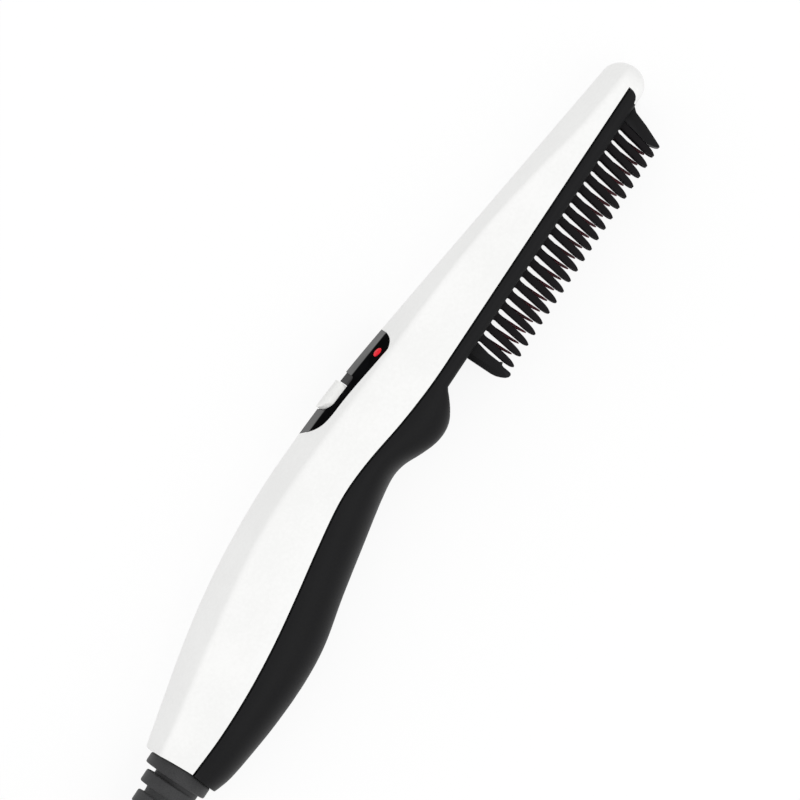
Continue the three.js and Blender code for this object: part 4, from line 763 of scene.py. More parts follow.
def rod_x(name, low, high, y, z, radius):
    """A round rod along X."""
    return along_x(name, [(z + a, y + b) for a, b in circle(radius)], low, high)


def rod_y(name, x, low, high, z, radius):
    """A round rod along Y."""
    return along_y(name, [(x + a, z + b) for a, b in circle(radius)], low, high)


def boot_passage():
    """The hole in the tail that the boot's neck lies in."""
    return rod_x("boot passage", -1, WALL + 0.5, BOOT_MIDDLE, 0, BOOT_NECK_RADIUS + FIT)


print("the tail face is arched by", round(tail_edge(0), 2), "mm")

# %% [markdown]
# ## The switch panel's place
# A glossy inlay lies in the back: pointed towards the tail and round towards the tip. Its pocket in the
# white shell is a little larger than the inlay, which gives the fine dark line round it. So both are cut
# along one outline, with a margin for the pocket.

# %% The outline of the panel
PANEL_TAIL = HANDLE_LENGTH - 35.1
PANEL_TIP = PANEL_TAIL + 38.4
PANEL_DEPTH = 4.5
PANEL_TIP_DEPTH = 5.05
PANEL_SPARE = 5
OUTLINE_STEP = 0.5


def rounded(points):
    """A smooth line through points of a plane."""
    return [place[:2] for place in even_points([(x, y, 0) for x, y in points], OUTLINE_STEP)]


def panel_outline(margin):
    """The panel seen from the side: a pointed tail, and a tip with a round corner."""
    tail = PANEL_TAIL - margin
    tip = PANEL_TIP + margin
    places = [(0, 0), (1.5, 1.4), (3.5, 2.9), (5.5, 3.8), (7.7, 4.3)]
    depths = [(tail + x, depth) for x, depth in places]
    for x in spread(tail + 11, tip - 3.8, 9) + [tip - 3.8]:
        depths.append((x, mix(PANEL_DEPTH, PANEL_TIP_DEPTH, smooth_step(x, tail + 13, tip - 6))))
    ends = [(2.6, 0.45), (1.5, 1.1), (0.6, 2.1), (0.1, 3.3), (0, 4.2)]
    depths += [(tip - x, PANEL_TIP_DEPTH - rise) for x, rise in ends]
    lower_edge = [(x, back_line(x) - depth - margin) for x, depth in depths]
    above = [(x, back_line(x) + PANEL_SPARE) for x in (tail, tip)]
    return [above[0], *rounded(lower_edge), above[1]]


print("the panel reaches from x =", round(PANEL_TAIL, 1), "to", round(PANEL_TIP, 1))

# %% [markdown]
# The slot for the slide knob and the hole for the lamp go through the panel and the white shell. The slot
# is bowed at its tail end, and the knob fits it, so one outline draws both.

# %% Tools for the slot and the lamp
SLOT_HALF_WIDTH = 8.4
SLOT_TAIL = PANEL_TAIL + 9
SLOT_TIP = SLOT_TAIL + 13.4
SLOT_CORNER = 1.2
SLOT_BOW = 4
LAMP_X = PANEL_TIP - 6.2
LAMP_Z = 9.9
LAMP_RADIUS = 1.5
BOARD_TOP = 14.3
SWITCH_HEIGHT = 5.0
slot_floor = BOARD_TOP + SWITCH_HEIGHT


def slot_outline(tail, tip, half, corner):
    """A slot or knob seen from the back: a bowed tail end, and a flat tip end with small round corners."""
    outline = []
    for degrees in range(-84, 85, 12):
        turn = math.radians(degrees)
        outline.append((tail + SLOT_BOW * (1 - math.cos(turn)), half * math.sin(turn)))
    for side in (1, -1):
        bow = []
        for degrees in (0, 30, 60, 90):
            turn = math.radians(degrees)
            along = tip - corner + corner * math.sin(turn)
            bow.append((along, side * (half - corner + corner * math.cos(turn))))
        near_bow = (tail + SLOT_BOW, side * half)
        outline += [near_bow, *bow] if side > 0 else [*reversed(bow), near_bow]
    return outline


def slot_tool(margin):
    """The space of the slot, down to the switch."""
    outline = slot_outline(SLOT_TAIL - margin, SLOT_TIP + margin, SLOT_HALF_WIDTH + margin, SLOT_CORNER)
    return along_y("slot tool", outline, slot_floor, FAR_OUT)


def lamp_tool():
    """The hole for the lamp."""
    return rod_y("lamp tool", LAMP_X, BOARD_TOP, FAR_OUT, LAMP_Z, LAMP_RADIUS + FIT)


print("the slot is", round(SLOT_TIP - SLOT_TAIL, 1), "mm long")

# %% [markdown]
# The white shell is the outer body above the parting line, without the space inside it, the panel's pocket
# and the holes. The parts that have to fit each other are cut with the same tools, some of them a little
# larger.

# %% The white shell
PANEL_THICKNESS = 1.2
POCKET_GAP = 0.08

white_shell = body_solid("white_shell")
cut(white_shell, under_parting("above parting", -PARTING_LIFT), cavity_solid("cavity", WALL))
rebate = wall_core("rebate", TONGUE_DEPTH - TONGUE_FIT)
crop(rebate, under_parting("rebate top", -TONGUE_HEIGHT - TONGUE_FIT))
panel_pocket = along_z("panel pocket", panel_outline(POCKET_GAP), -FAR_OUT, FAR_OUT)
cut(panel_pocket, body_solid("pocket floor", PANEL_THICKNESS + FIT))
cut(white_shell, rebate)
cut(white_shell, panel_pocket, slot_tool(FIT), lamp_tool(), boot_passage(), tail_tool())
smooth(white_shell)
dress(white_shell, "white_shell", "top_shell")

# %% [markdown]
# The black shell carries more: the window that the combs look out of, the wide teeth at both ends of the
# combs, and the bosses that the case screws go into from the belly. The window's size follows from the
# teeth that stand in it, so their number and spacing come first.

# %% Where the combs lie
COMB_START = 151.5
TOOTH_COUNT = 21
TOOTH_PITCH = 3.69
TOOTH_WIDTH = 2.24
TOOTH_THICKNESS = 1.8
GUARD_ROW = 8.2
GUARD_SIDE = 0.5
ledge = UNDERSIDE + WALL
comb_end = COMB_START + (TOOTH_COUNT - 1) * TOOTH_PITCH + TOOTH_WIDTH
window_half_width = GUARD_ROW + TOOTH_THICKNESS / 2 + GUARD_SIDE
handle_tooth_start, handle_tooth_end = COMB_START - 6.1, COMB_START - 1.1
tip_tooth_start, tip_tooth_end = comb_end + 0.15, comb_end + 5.7
window_start, window_end = handle_tooth_end + 0.4, tip_tooth_start - 0.05
print("the window for the combs is", round(window_end - window_start, 2), "mm long")

# %% [markdown]
# The end teeth are outlines drawn out across the comb. A second outline, from below, crops them, so that
# their outer corners are cut off. The first is a blunt hook and the last a wedge, as in the photograph.

# %% The end teeth
END_TOOTH_HALF_WIDTH = 9.1
END_TOOTH_CORNER = 1.7
END_TOOTH_ROUND = 0.3
end_tooth_reach = COMB_REACH + 0.6


def end_tooth(name, side, outer, inner):
    """An end tooth: its outline from the side, cropped by its outline from below."""
    half = END_TOOTH_HALF_WIDTH
    inward = outer + math.copysign(END_TOOTH_CORNER, inner - outer)
    corner = half - END_TOOTH_CORNER
    plan = [(outer, -corner), (inward, -half), (inner, -half), (inner, half), (inward, half), (outer, corner)]
    tooth = along_z(name, side, -half, half)
    crop(tooth, along_y("plan", plan, -end_tooth_reach - 1, ledge))
    return soft_edges(tooth, END_TOOTH_ROUND)


def handle_end_tooth():
    """Its outer edge curves into a blunt tip, and a bulge near the tip narrows the first gap."""
    start, end = handle_tooth_start, handle_tooth_end
    edge = [
        (0, 4.9), (0.2, 3.4), (0.7, 2), (1.3, 0.8), (2, 0.1), (2.7, 0), (3.1, 0.15), (3.35, 0.6),
        (3.5, 1.7), (3.6, 3), (3.85, 3.65), (4.6, 3.95), (4.65, 4.2), (4.2, 4.9), (4.5, 8.8), (5.15, 11.9),
    ]
    root = [(start + 5.45, UNDERSIDE - 0.15), (end + 0.3, UNDERSIDE + 0.1), (end, UNDERSIDE + 0.3)]
    side = [(start, ledge), *[(start + x, y - end_tooth_reach) for x, y in edge], *root, (end, ledge)]
    return end_tooth("handle_end_tooth", side, start, end + 1)


def tip_end_tooth():
    """A wide wedge that leans over the last teeth, with a small blunt tip."""
    start, end = tip_tooth_start, tip_tooth_end
    edge = [
        (-1.85, 4.6), (-1.82, 3.9), (-1.7, 2.7), (-1.45, 1.7), (-1.15, 1), (-0.8, 0.6), (-0.45, 0.9),
        (0.4, 2.8), (2.3, 7.2), (3.9, 11.8),
    ]
    side = [(start, ledge), (start, UNDERSIDE), *[(start + x, y - end_tooth_reach) for x, y in edge]]
    side += [(end, UNDERSIDE + 0.4), (end - 1, ledge)]
    return end_tooth("tip_end_tooth", side, end, start - 3)


print("the end teeth reach", round(end_tooth_reach, 1), "mm down")

# %% [markdown]
# The order matters here. Each boss joins the hollow shell before its screw's holes are cut, so that they go
# through both. The boot's hole and the tail face come after that, and the end teeth last, because nothing
# cuts them.

# %% The black shell
SCREW_RADIUS = 1.2
SCREW_HEAD_RADIUS = 2.7
BOSS_WALL = 1.7
BOSS_ROOM = 0.5
CASE_SCREWS = [
    {"name": "case_screw_tail", "x": 37, "depth": 4.4, "length": 17},
    {"name": "case_screw_middle", "x": 96.3, "depth": 4.45, "length": 13},
    {"name": "case_screw_head", "x": 140.4, "depth": 2.6, "length": 13},
]


def box(name, x0, x1, y0, y1, z0, z1):
    """A block between two places along each direction."""
    return along_z(name, [(x0, y0), (x1, y0), (x1, y1), (x0, y1)], z0, z1)


black_shell = body_solid("black_shell")
crop(black_shell, under_parting("below parting", PARTING_DROP))
cut(black_shell, cavity_solid("cavity", WALL))
tongue = wall_core("tongue", TONGUE_DEPTH)
crop(tongue, under_parting("tongue top", -TONGUE_HEIGHT))
cut(tongue, under_parting("tongue foot", TONGUE_HEIGHT / 2), cavity_solid("tongue inside", WALL - 0.02))
join(black_shell, tongue)
half = window_half_width
cut(black_shell, box("window", window_start, window_end, UNDERSIDE - 1, ledge + 1, -half, half))
for screw in CASE_SCREWS:
    x = screw["x"]
    seat = screw["seat"] = belly_line(x) + screw["depth"]
    boss_radius = SCREW_HEAD_RADIUS + FIT + BOSS_WALL - BOSS_ROOM
    join(black_shell, rod_y("boss", x, belly_line(x) + WALL / 2, parting_line(x) + BOSS_WALL, 0, boss_radius))
    head_hole = rod_y("head hole", x, -FAR_OUT, seat, 0, SCREW_HEAD_RADIUS + FIT)
    shank_hole = rod_y("shank hole", x, -FAR_OUT, seat + screw["length"], 0, SCREW_RADIUS + FIT)
    cut(black_shell, head_hole, shank_hole)
cut(black_shell, boot_passage(), tail_tool())
join(black_shell, handle_end_tooth(), tip_end_tooth())
smooth(black_shell)
dress(black_shell, "black_shell", "bottom_shell")

# %% [markdown]
# The panel is the part of the body's roof that lies inside its outline, as thick as a moulded inlay. Its
# top has a flat facet beside the ridge, which catches the light as one band. Its underside is hollowed,
# because a shutter slides there.

# %% The switch panel
PANEL_CREASE = 6.6
SHUTTER_DEPTH = 0.3
SHUTTER_THICKNESS = 0.6
SHUTTER_HALF_WIDTH = SLOT_HALF_WIDTH + 0.9
SHUTTER_FIT = 0.05
panel_facet = PANEL_CREASE / HALF_THICKNESS


def panel_core(name, depth):
    """The body round the panel, under a depth."""
    places = spread(PANEL_TAIL - PANEL_SPARE, PANEL_TIP + PANEL_SPARE, 40)
    return loft(name, [body_ring(x, depth, panel_facet) for x in places])


def plate_space(name, depth, start, end, half_width):
    """All that lies deeper than a depth under the panel's top, over a rectangle."""
    space = box(name, start, end, slot_floor, FAR_OUT, -half_width, half_width)
    return crop(space, panel_core("depth", depth))


panel = along_z("panel", panel_outline(0), -FAR_OUT, FAR_OUT)
crop(panel, body_solid("panel top", 0, panel_facet))
cut(panel, body_solid("panel back", PANEL_THICKNESS), slot_tool(0), lamp_tool())
shutter_room = (SLOT_TAIL - 3.8, SLOT_TIP + 3.9, SHUTTER_HALF_WIDTH + FIT)
cut(panel, plate_space("shutter space", SHUTTER_DEPTH, *shutter_room))
smooth(panel, 25)
dress(panel, "panel_black", "switch_panel")

# %% [markdown]
# ## The slide knob and the lamp
# The knob stands a little proud of the panel, so that a thumb finds it. Its top is a low roof of two
# facets, with a steep facet on each side, which catches the light. Its tail end is bowed and its tip end
# square. It is an outline seen from the back, drawn out and cropped by that roof, and it rides on the
# sliding body.

# %% The knob
KNOB_LENGTH = 9.9
KNOB_PROUD = 0.85
KNOB_FLANGE = 1.2
KNOB_PLAY = 0.4
KNOB_CREASE = 7.4
KNOB_CREASE_DROP = 1.85
KNOB_EDGE_DROP = 3.3
KNOB_SIDE = 0.8
KNOB_SPARE = 0.1
knob_tail = SLOT_TAIL + FIT
knob_tip = knob_tail + KNOB_LENGTH
knob_half_width = SLOT_HALF_WIDTH - FIT


def knob_ring(x):
    """The knob's top facets over one place, closed far below."""
    top = back_line(x) + KNOB_PROUD
    edge = top - KNOB_EDGE_DROP
    near = [
        (x, top - KNOB_CREASE_DROP, KNOB_CREASE),
        (x, edge, knob_half_width),
        (x, edge - KNOB_SIDE, knob_half_width + KNOB_SPARE),
        (x, slot_floor - 1, knob_half_width + KNOB_SPARE),
    ]
    return [(x, top, 0), *near, *[(x, y, -z) for x, y, z in reversed(near)]]


knob = along_y("knob", slot_outline(knob_tail, knob_tip, knob_half_width, SLOT_CORNER), slot_floor, FAR_OUT)
crop(knob, loft("knob top", [knob_ring(x) for x in spread(knob_tail - 1, knob_tip + 1, 10)]))
cut(knob, cavity_solid("knob underside", WALL + KNOB_PLAY + KNOB_FLANGE))
soft_edges(knob, 0.32, 40)
smooth(knob, 30)
dress(knob, "knob_white", "switch_knob", body="slider")

# %% [markdown]
# The slot is longer than the knob, and would show the inside when the knob has moved. So a thin black
# shutter lies close under the panel and slides with the knob. It closes both ends of the slot at any place
# of the knob.

# %% The shutter
shutter_ends = (knob_tail - 3.5, knob_tip + 3.2)
shutter = plate_space("shutter", SHUTTER_DEPTH + SHUTTER_FIT, *shutter_ends, SHUTTER_HALF_WIDTH)
cut(shutter, panel_core("shutter back", SHUTTER_DEPTH + SHUTTER_THICKNESS))
stem_ends = (knob_tail - SHUTTER_FIT, knob_tip + SHUTTER_FIT)
stem_hole = slot_outline(*stem_ends, knob_half_width + SHUTTER_FIT, SLOT_CORNER)
cut(shutter, along_y("stem hole", stem_hole, slot_floor, FAR_OUT))
smooth(shutter, 30)
dress(shutter, "comb_black", body="slider")

# %% [markdown]
# The lamp is the end of a light pipe, which stands over the small light on the board. Its top is flush with
# the panel and slightly domed. The dome's rings are tilted, because the roof falls to the side and to the
# tip there.

# %% The lamp window
LED_HEIGHT = 3.9
PIPE_RADIUS = 1.0
LAMP_SUNK = 0.15
LAMP_DOME = 0.25
LAMP_NECK = (2.6, 2.1)


def roof_height(x, z):
    """The height of the roof at a distance from the middle plane."""
    share = abs(z) / half_thickness(x)
    return back_line(x) - (back_line(x) - crease_line(x)) * share ** ROOF_CURVE


lamp_low = BOARD_TOP + FIT + LED_HEIGHT + FIT
lamp_top = roof_height(LAMP_X, LAMP_Z) - LAMP_SUNK
lamp_slope = (roof_height(LAMP_X, LAMP_Z - 1) - roof_height(LAMP_X, LAMP_Z + 1)) / 2
lamp_fall = (back_line(LAMP_X - 1) - back_line(LAMP_X + 1)) / 2
neck_low, neck_high = [lamp_top - depth for depth in LAMP_NECK]
lamp_sizes = [(lamp_low, PIPE_RADIUS), (neck_low, PIPE_RADIUS), (neck_high, LAMP_RADIUS)]
lamp_rings = [[(LAMP_X + a, y, LAMP_Z + b) for a, b in circle(radius)] for y, radius in lamp_sizes]
for turn in spread(0, math.pi / 2, 8):
    top = lamp_top + LAMP_DOME * math.sin(turn)
    ring = circle(LAMP_RADIUS * math.cos(turn))
    lamp_rings.append([(LAMP_X + a, top - a * lamp_fall - b * lamp_slope, LAMP_Z + b) for a, b in ring])
lamp = smooth(loft("lamp", lamp_rings), 40)
dress(lamp, "lamp_red", "indicator_window")

# %% [markdown]
# ## The combs
# Two black guard combs keep the hot teeth off the scalp. Each guard tooth leans towards the tail, tapers to
# a thin rounded tip, and has an oval section, so it can leave the mould and slide through hair. A tooth is
# a short loft of oval rings.

# %% A guard tooth
TOOTH_LEAN = 0.15
TOOTH_FAN = 0.0027
TOOTH_FOOT = 0.28
TOOTH_BOW = 0.45
TOOTH_SPARE = 0.06
FOOT_HEIGHT = 0.8
FOOT_DEPTHS = (-0.8, -0.3, -0.15, 0, 0.2, 0.5)
TOOTH_SHARES = (0.15, 0.3, 0.45, 0.6, 0.7, 0.78, 0.84, 0.89, 0.93, 0.96, 0.98, 0.993, 1)
tooth_roots = []
for number in range(TOOTH_COUNT):
    share = number / (TOOTH_COUNT - 1)
    bow = 4 * TOOTH_BOW * share * (1 - share)
    tooth_roots.append(COMB_START + TOOTH_WIDTH / 2 + TOOTH_PITCH * number + bow)
guard_taper = line_through([
    (0, 1.06), (0.2, 1.03), (0.4, 0.985), (0.6, 0.97), (0.75, 0.92), (0.87, 0.76), (0.95, 0.5), (1, 0.18),
])


def oval(x, y, z, length, width, power=3.2, count=16):
    """A level ring between a rectangle and an ellipse."""
    ring = []
    for turn in spread(0, 2 * math.pi, count):
        a, b = math.cos(turn), math.sin(turn)
        reach = (abs(a) ** power + abs(b) ** power) ** (-1 / power)
        ring.append((x + a * reach * length / 2, y, z + b * reach * width / 2))
    return ring


def guard_tooth(number, z):
    """The rings of one tooth. Its foot widens in a small curve, which rounds the top of each gap."""
    lean = TOOTH_LEAN + TOOTH_FAN * number
    rings = []
    for depth in FOOT_DEPTHS:
        foot = TOOTH_FOOT * min(1, (FOOT_DEPTHS[-1] - depth) / FOOT_HEIGHT) ** 2
        x = tooth_roots[number] - lean * depth
        rings.append(oval(x, -depth, z, TOOTH_WIDTH + 2 * foot, TOOTH_THICKNESS))
    for share in TOOTH_SHARES:
        depth = share * COMB_REACH
        size = guard_taper(share)
        x = tooth_roots[number] - lean * depth
        rings.append(oval(x, -depth, z, TOOTH_WIDTH * size, TOOTH_THICKNESS * min(1, size + TOOTH_SPARE)))
    return rings


print("a guard tooth has", len(guard_tooth(0, 0)), "rings")

# %% [markdown]
# One comb is one mesh of all its teeth and the strip that they grow from. The strip fills its side of the
# window, and a lip on it lies on the shell inside, which keeps the comb from falling out.

# %% The guard combs
HEATER_HALF_WIDTH = 5.3
HEATER_LIP = 1.7
LIP_THICKNESS = 1
GUARD_LIP = 1.1
guard_inner = HEATER_HALF_WIDTH + FIT
guard_outer = window_half_width - FIT
heater_shelf = ledge - 0.2
lip_top = ledge + FIT + LIP_THICKNESS


def guard_comb(name, side):
    """One comb: its teeth, and a strip with a lip that lies over the shell and holds it."""
    section = [
        (guard_inner, UNDERSIDE),
        (guard_outer, UNDERSIDE),
        (guard_outer, ledge + FIT),
        (guard_outer + GUARD_LIP, ledge + FIT),
        (guard_outer + GUARD_LIP, lip_top),
        (HEATER_HALF_WIDTH + HEATER_LIP + FIT, lip_top),
        (HEATER_HALF_WIDTH + HEATER_LIP + FIT, heater_shelf),
        (guard_inner, heater_shelf),
    ]
    strip = [[(x, y, side * z) for z, y in section] for x in (window_start + FIT, window_end - FIT)]
    teeth = [guard_tooth(number, side * GUARD_ROW) for number in range(TOOTH_COUNT)]
    return smooth(lofts(name, [strip, *teeth]), 40)


dress(guard_comb("guard_comb_near", 1), "comb_black", "side_comb_near")
dress(guard_comb("guard_comb_far", -1), "comb_black", "side_comb_far")

# %% [markdown]
# The heated comb is a coated metal casting with slim round teeth. They lean the other way than the guard
# teeth, so they cross the gaps between those, and show there as slim reddish lines.

# %% A heated tooth
HEATER_TOOTH_REACH = 9.8
HEATER_TOOTH_WIDTH = 1.7
HEATER_TOOTH_THICKNESS = 1.5
HEATER_TOOTH_SHARES = (0.03, 0.08, 0.2, 0.4, 0.6, 0.75, 0.85, 0.92, 0.96, 0.985, 1)
HEATER_TOOTH_SHIFT = 0.1
HEATER_TOOTH_DRIFT = 0.014
HEATER_TOOTH_LEAN = -0.08
HEATER_BASE = 0.8
heater_taper = line_through([(0, 1), (0.3, 0.8), (0.6, 0.56), (0.85, 0.42), (0.95, 0.3), (1, 0.14)])


def slim_oval(x, y, z, size):
    """A ring of a heated tooth, at a share of its full size."""
    return oval(x, y, z, HEATER_TOOTH_WIDTH * size, HEATER_TOOTH_THICKNESS * size, power=2, count=14)


def heated_tooth(number, z):
    """The rings of one heated tooth, from inside the casting to the tip."""
    root = tooth_roots[number] + HEATER_TOOTH_SHIFT - HEATER_TOOTH_DRIFT * number
    lean = HEATER_TOOTH_LEAN + TOOTH_FAN * number
    rings = [slim_oval(root, HEATER_BASE + height, z, 1) for height in (0.4, 0.02)]
    for share in HEATER_TOOTH_SHARES:
        depth = share * HEATER_TOOTH_REACH
        rings.append(slim_oval(root - lean * depth, -depth, z, heater_taper(share)))
    return rings


print("a heated tooth has", len(heated_tooth(0, 0)), "rings")

# %% [markdown]
# The casting itself is a channel that holds the heating element, closed at both ends, with two rows of
# teeth under it. It is drawn as one section along the comb, with a floor that is higher at the ends.

# %% The heated comb
HEATER_ROW = 2.7
HEATER_FLOOR = 3.0
HEATER_TOP = 7.0
HEATER_SIDE = 1.3
HEATER_END = 5
heater_start = window_start + 2 * FIT
heater_end = window_end - 2 * FIT


def heater_section(floor):
    """The channel's section, as pairs of z and y, with its floor at a height."""
    half = HEATER_HALF_WIDTH
    lip_low = heater_shelf + FIT
    near = [
        (half, HEATER_BASE),
        (half, lip_low),
        (half + HEATER_LIP, lip_low),
        (half + HEATER_LIP, lip_low + LIP_THICKNESS),
        (half, lip_low + LIP_THICKNESS),
        (half, HEATER_TOP),
        (half - HEATER_SIDE, HEATER_TOP),
        (half - HEATER_SIDE, floor),
    ]
    return near + [(-z, y) for z, y in reversed(near)]


closed_end = HEATER_TOP - 0.01
heater_parts = []
for start, end, floor in [
    (heater_start, heater_start + HEATER_END, closed_end),
    (heater_start + HEATER_END, heater_end - HEATER_END, HEATER_FLOOR),
    (heater_end - HEATER_END, heater_end, closed_end),
]:
    heater_parts.append([[(x, y, z) for z, y in heater_section(floor)] for x in (start, end)])
for number in range(TOOTH_COUNT - 1):
    heater_parts += [heated_tooth(number, side * HEATER_ROW) for side in (1, -1)]
heated_comb = smooth(lofts("heated_comb", heater_parts), 40)
dress(heated_comb, "heated_coat", "heater_comb")

# %% [markdown]
# ## The boot
# The boot is moulded in soft rubber round the cord: a wide collar against the tail, then ribs that get
# smaller and a short nose. A profile of distances and radii round the cord's middle line describes it.

# %% The boot's profile
BOOT_COLLAR_RADIUS = 10
BOOT_COLLAR_LENGTH = 3.2
BOOT_COLLAR_GROOVE = 1.4
BOOT_FLANGE_RADIUS = 9.4
BOOT_FLANGE_LENGTH = 2.2
BOOT_RIB_COUNT = 5
BOOT_RIB_PITCH = 6.2
BOOT_RIB_LENGTH = 4.0
BOOT_RIB_RADIUS = 8.4
BOOT_RIB_SHRINK = 1.05
BOOT_CORE_RADIUS = 6.1
BOOT_NOSE_RADIUS = 3.5
BOOT_NOSE_LENGTH = 2.6
flange_end = WALL + FIT + BOOT_FLANGE_LENGTH
ribs_start = -FIT - BOOT_COLLAR_LENGTH - BOOT_COLLAR_GROOVE
ribs_end = ribs_start - (BOOT_RIB_COUNT - 1) * BOOT_RIB_PITCH - BOOT_RIB_LENGTH


def boot_core(x):
    """The radius in the grooves, which falls evenly towards the nose."""
    share = (x - ribs_start) / (ribs_end - ribs_start)
    return mix(BOOT_CORE_RADIUS, BOOT_NOSE_RADIUS, share)


boot_profile = [
    (flange_end, 3),
    (flange_end, BOOT_FLANGE_RADIUS),
    (WALL + FIT, BOOT_FLANGE_RADIUS),
    (WALL + FIT, BOOT_NECK_RADIUS),
    (-FIT, BOOT_NECK_RADIUS),
    (-FIT, BOOT_COLLAR_RADIUS),
    (-FIT - BOOT_COLLAR_LENGTH, BOOT_COLLAR_RADIUS),
    (-FIT - BOOT_COLLAR_LENGTH, BOOT_CORE_RADIUS),
]
for rib in range(BOOT_RIB_COUNT):
    start = ribs_start - rib * BOOT_RIB_PITCH
    end = start - BOOT_RIB_LENGTH
    radius = BOOT_RIB_RADIUS - rib * BOOT_RIB_SHRINK
    boot_profile += [(start, boot_core(start)), (start, radius), (end, radius), (end, boot_core(end))]
boot_profile += [(ribs_end - BOOT_NOSE_LENGTH, BOOT_NOSE_RADIUS), (ribs_end - BOOT_NOSE_LENGTH, 2.6)]
print("the boot's profile has", len(boot_profile), "corners")

# %% [markdown]
# Every corner of the profile is rounded, because rubber has none. The grooves are deep on the back side and
# shallow on the belly side, which makes the boot bend one way more easily, and the collar's face follows
# the arched tail of the shells.

# %% The boot's rings
BOOT_SPINE_STEP = 0.15
BOOT_FACE = 0.8
BOOT_ROUNDING = 0.6
BOOT_SIDES = 64


def eased(points, radius):
    """A profile whose corners are rounded off."""
    result = [points[0]]
    for before, corner, after in zip(points, points[1:], points[2:]):
        corner = Vector(corner)
        to_before, to_after = Vector(before) - corner, Vector(after) - corner
        reach = min(radius, to_before.length / 2, to_after.length / 2)
        start = corner + to_before.normalized() * reach
        end = corner + to_after.normalized() * reach
        for step in range(5):
            t = step / 4
            result.append(tuple(start * (1 - t) ** 2 + corner * 2 * t * (1 - t) + end * t * t))
    result.append(points[-1])
    return result


def boot_spine(x):
    """How far the boot reaches down on its belly side, where its grooves are shallow."""
    return BOOT_RIB_RADIUS - BOOT_SPINE_STEP - max(0, ribs_start - x) / BOOT_RIB_PITCH * BOOT_RIB_SHRINK


def boot_ring(x, radius):
    """A ring of the boot. The collar's face follows the arched tail face of the shells."""
    low = radius
    if ribs_end + FIT < x < -FIT - BOOT_COLLAR_LENGTH / 2:
        low = max(radius, boot_spine(x))
    at_tail = -FIT - BOOT_FACE < x < FIT and radius > BOOT_NECK_RADIUS + FIT
    ring = []
    for a, b in circle((radius + low) / 2, BOOT_SIDES):
        y = BOOT_MIDDLE + (radius - low) / 2 + a
        ring.append((x + tail_edge(y) if at_tail else x, y, b))
    return ring


boot_rings = [boot_ring(x, radius) for x, radius in eased(boot_profile, BOOT_ROUNDING)]
boot = smooth(loft("boot", boot_rings), 50)
dress(boot, "boot_rubber", "strain_relief")

# %% [markdown]
# ## The tie
# The hank is held by a strap with hook tape, wound once round its waist. A real strap's free end laps over
# its start. Here it is one closed band with rounded edges, because the overlap would hardly show.

# %% The tie round the hank
TIE_WIDTH = 7
TIE_THICKNESS = 0.8
TIE_INSIDE = 0.05
TIE_CORNER = 2
TIE_SQUARENESS = 8


def tie_outline(grow):
    """The strap's path round the hank, from the floor side, as pairs of z and y."""
    narrow = 1 - HANK_WAIST
    low = HANK_MIDDLE - loop_radius(0) * narrow - CORD_RADIUS - FIT - grow
    high = HANK_MIDDLE + loop_radius(1 / 2) * narrow + CORD_RADIUS + FIT + grow
    bottom = FLOOR + TIE_THICKNESS - grow
    top = FLOOR + loop_height(0) + CORD_RADIUS + TIE_LIFT + FIT + grow
    corner = TIE_CORNER + grow
    outline = []
    for z, y, first in ((top, high, 0), (bottom, high, 90), (bottom, low, 180), (top, low, 270)):
        middle_z = z - corner if z == top else z + corner
        middle_y = y - corner if y == high else y + corner
        outline += corner_arc(middle_z, middle_y, corner, first, 15)
    return outline


def strap(name, start, end, inner, outer):
    """A band with rounded edges between two paths."""
    middle = (start + end) / 2
    half = (end - start) / 2
    rings = []
    for (z0, y0), (z1, y1) in zip(inner, outer):
        ring = []
        for turn in spread(0, 2 * math.pi, 20):
            a, b = math.cos(turn), math.sin(turn)
            reach = (abs(a) ** TIE_SQUARENESS + abs(b) ** TIE_SQUARENESS) ** (-1 / TIE_SQUARENESS)
            share = 0.5 + b * reach / 2
            ring.append((middle + a * reach * half, mix(y0, y1, share), mix(z0, z1, share)))
        rings.append(ring)
    return loft(name, rings, closed=True)


tie_ends = (hank_waist - TIE_WIDTH / 2, hank_waist + TIE_WIDTH / 2)
tie = smooth(strap("tie", *tie_ends, tie_outline(TIE_INSIDE), tie_outline(TIE_THICKNESS)), 50)
dress(tie, "cord_jacket", "cord_tie")

# %% [markdown]
# ## The plug
# The plug is a moulded body with three flat pins and a fuse carrier between them. It lies on its back with
# the pins up. Its outline is drawn out in layers that draw in towards both faces, so the edges are round,
# and the sides have shallow finger grips.

# %% The plug's body
PLUG_LENGTH = 46
PLUG_WIDTH = 47
PLUG_THICKNESS = 19
PLUG_NEAR_FACE = -215
CARRIER_INSET = 3.5
CARRIER_LENGTH = 27.2
CARRIER_HALF_WIDTH = 4.5
CARRIER_THICKNESS = 1.8
GRIP_COUNT = 5
GRIP_START = 19
GRIP_PITCH = 3
GRIP_RADIUS = 0.9
GRIP_OUT = 0.25
GRIP_END = 3.5
PLUG_LAYERS = [
    (0, 2.2), (0.25, 1.2), (0.7, 0.55), (1.3, 0.15), (2.2, 0), (16.6, 0),
    (17.4, 0.1), (18.1, 0.35), (18.6, 0.75), (18.9, 1.3), (PLUG_THICKNESS, 2),
]
plug_end = PLUG_NEAR_FACE - PLUG_LENGTH
plug_top = FLOOR + PLUG_THICKNESS
carrier_start = PLUG_NEAR_FACE - CARRIER_INSET
carrier_end = carrier_start - CARRIER_LENGTH


def plug_outline(margin):
    """The plug seen along its pins, drawn in by a margin."""
    half = PLUG_WIDTH / 2 - margin
    near, far = PLUG_NEAR_FACE - margin, plug_end + margin
    upper = [
        (near, half - 13), (near - 6, half - 5), (near - 16, half), (far + 12, half - 1), (far, half - 10),
    ]
    corners = [*upper, *[(x, -y) for x, y in reversed(upper)]]
    loop = eased([*corners[-1:], *corners, corners[0]], 4)[1:-1]
    return [(x, PLUG_MIDDLE + y) for x, y in loop]


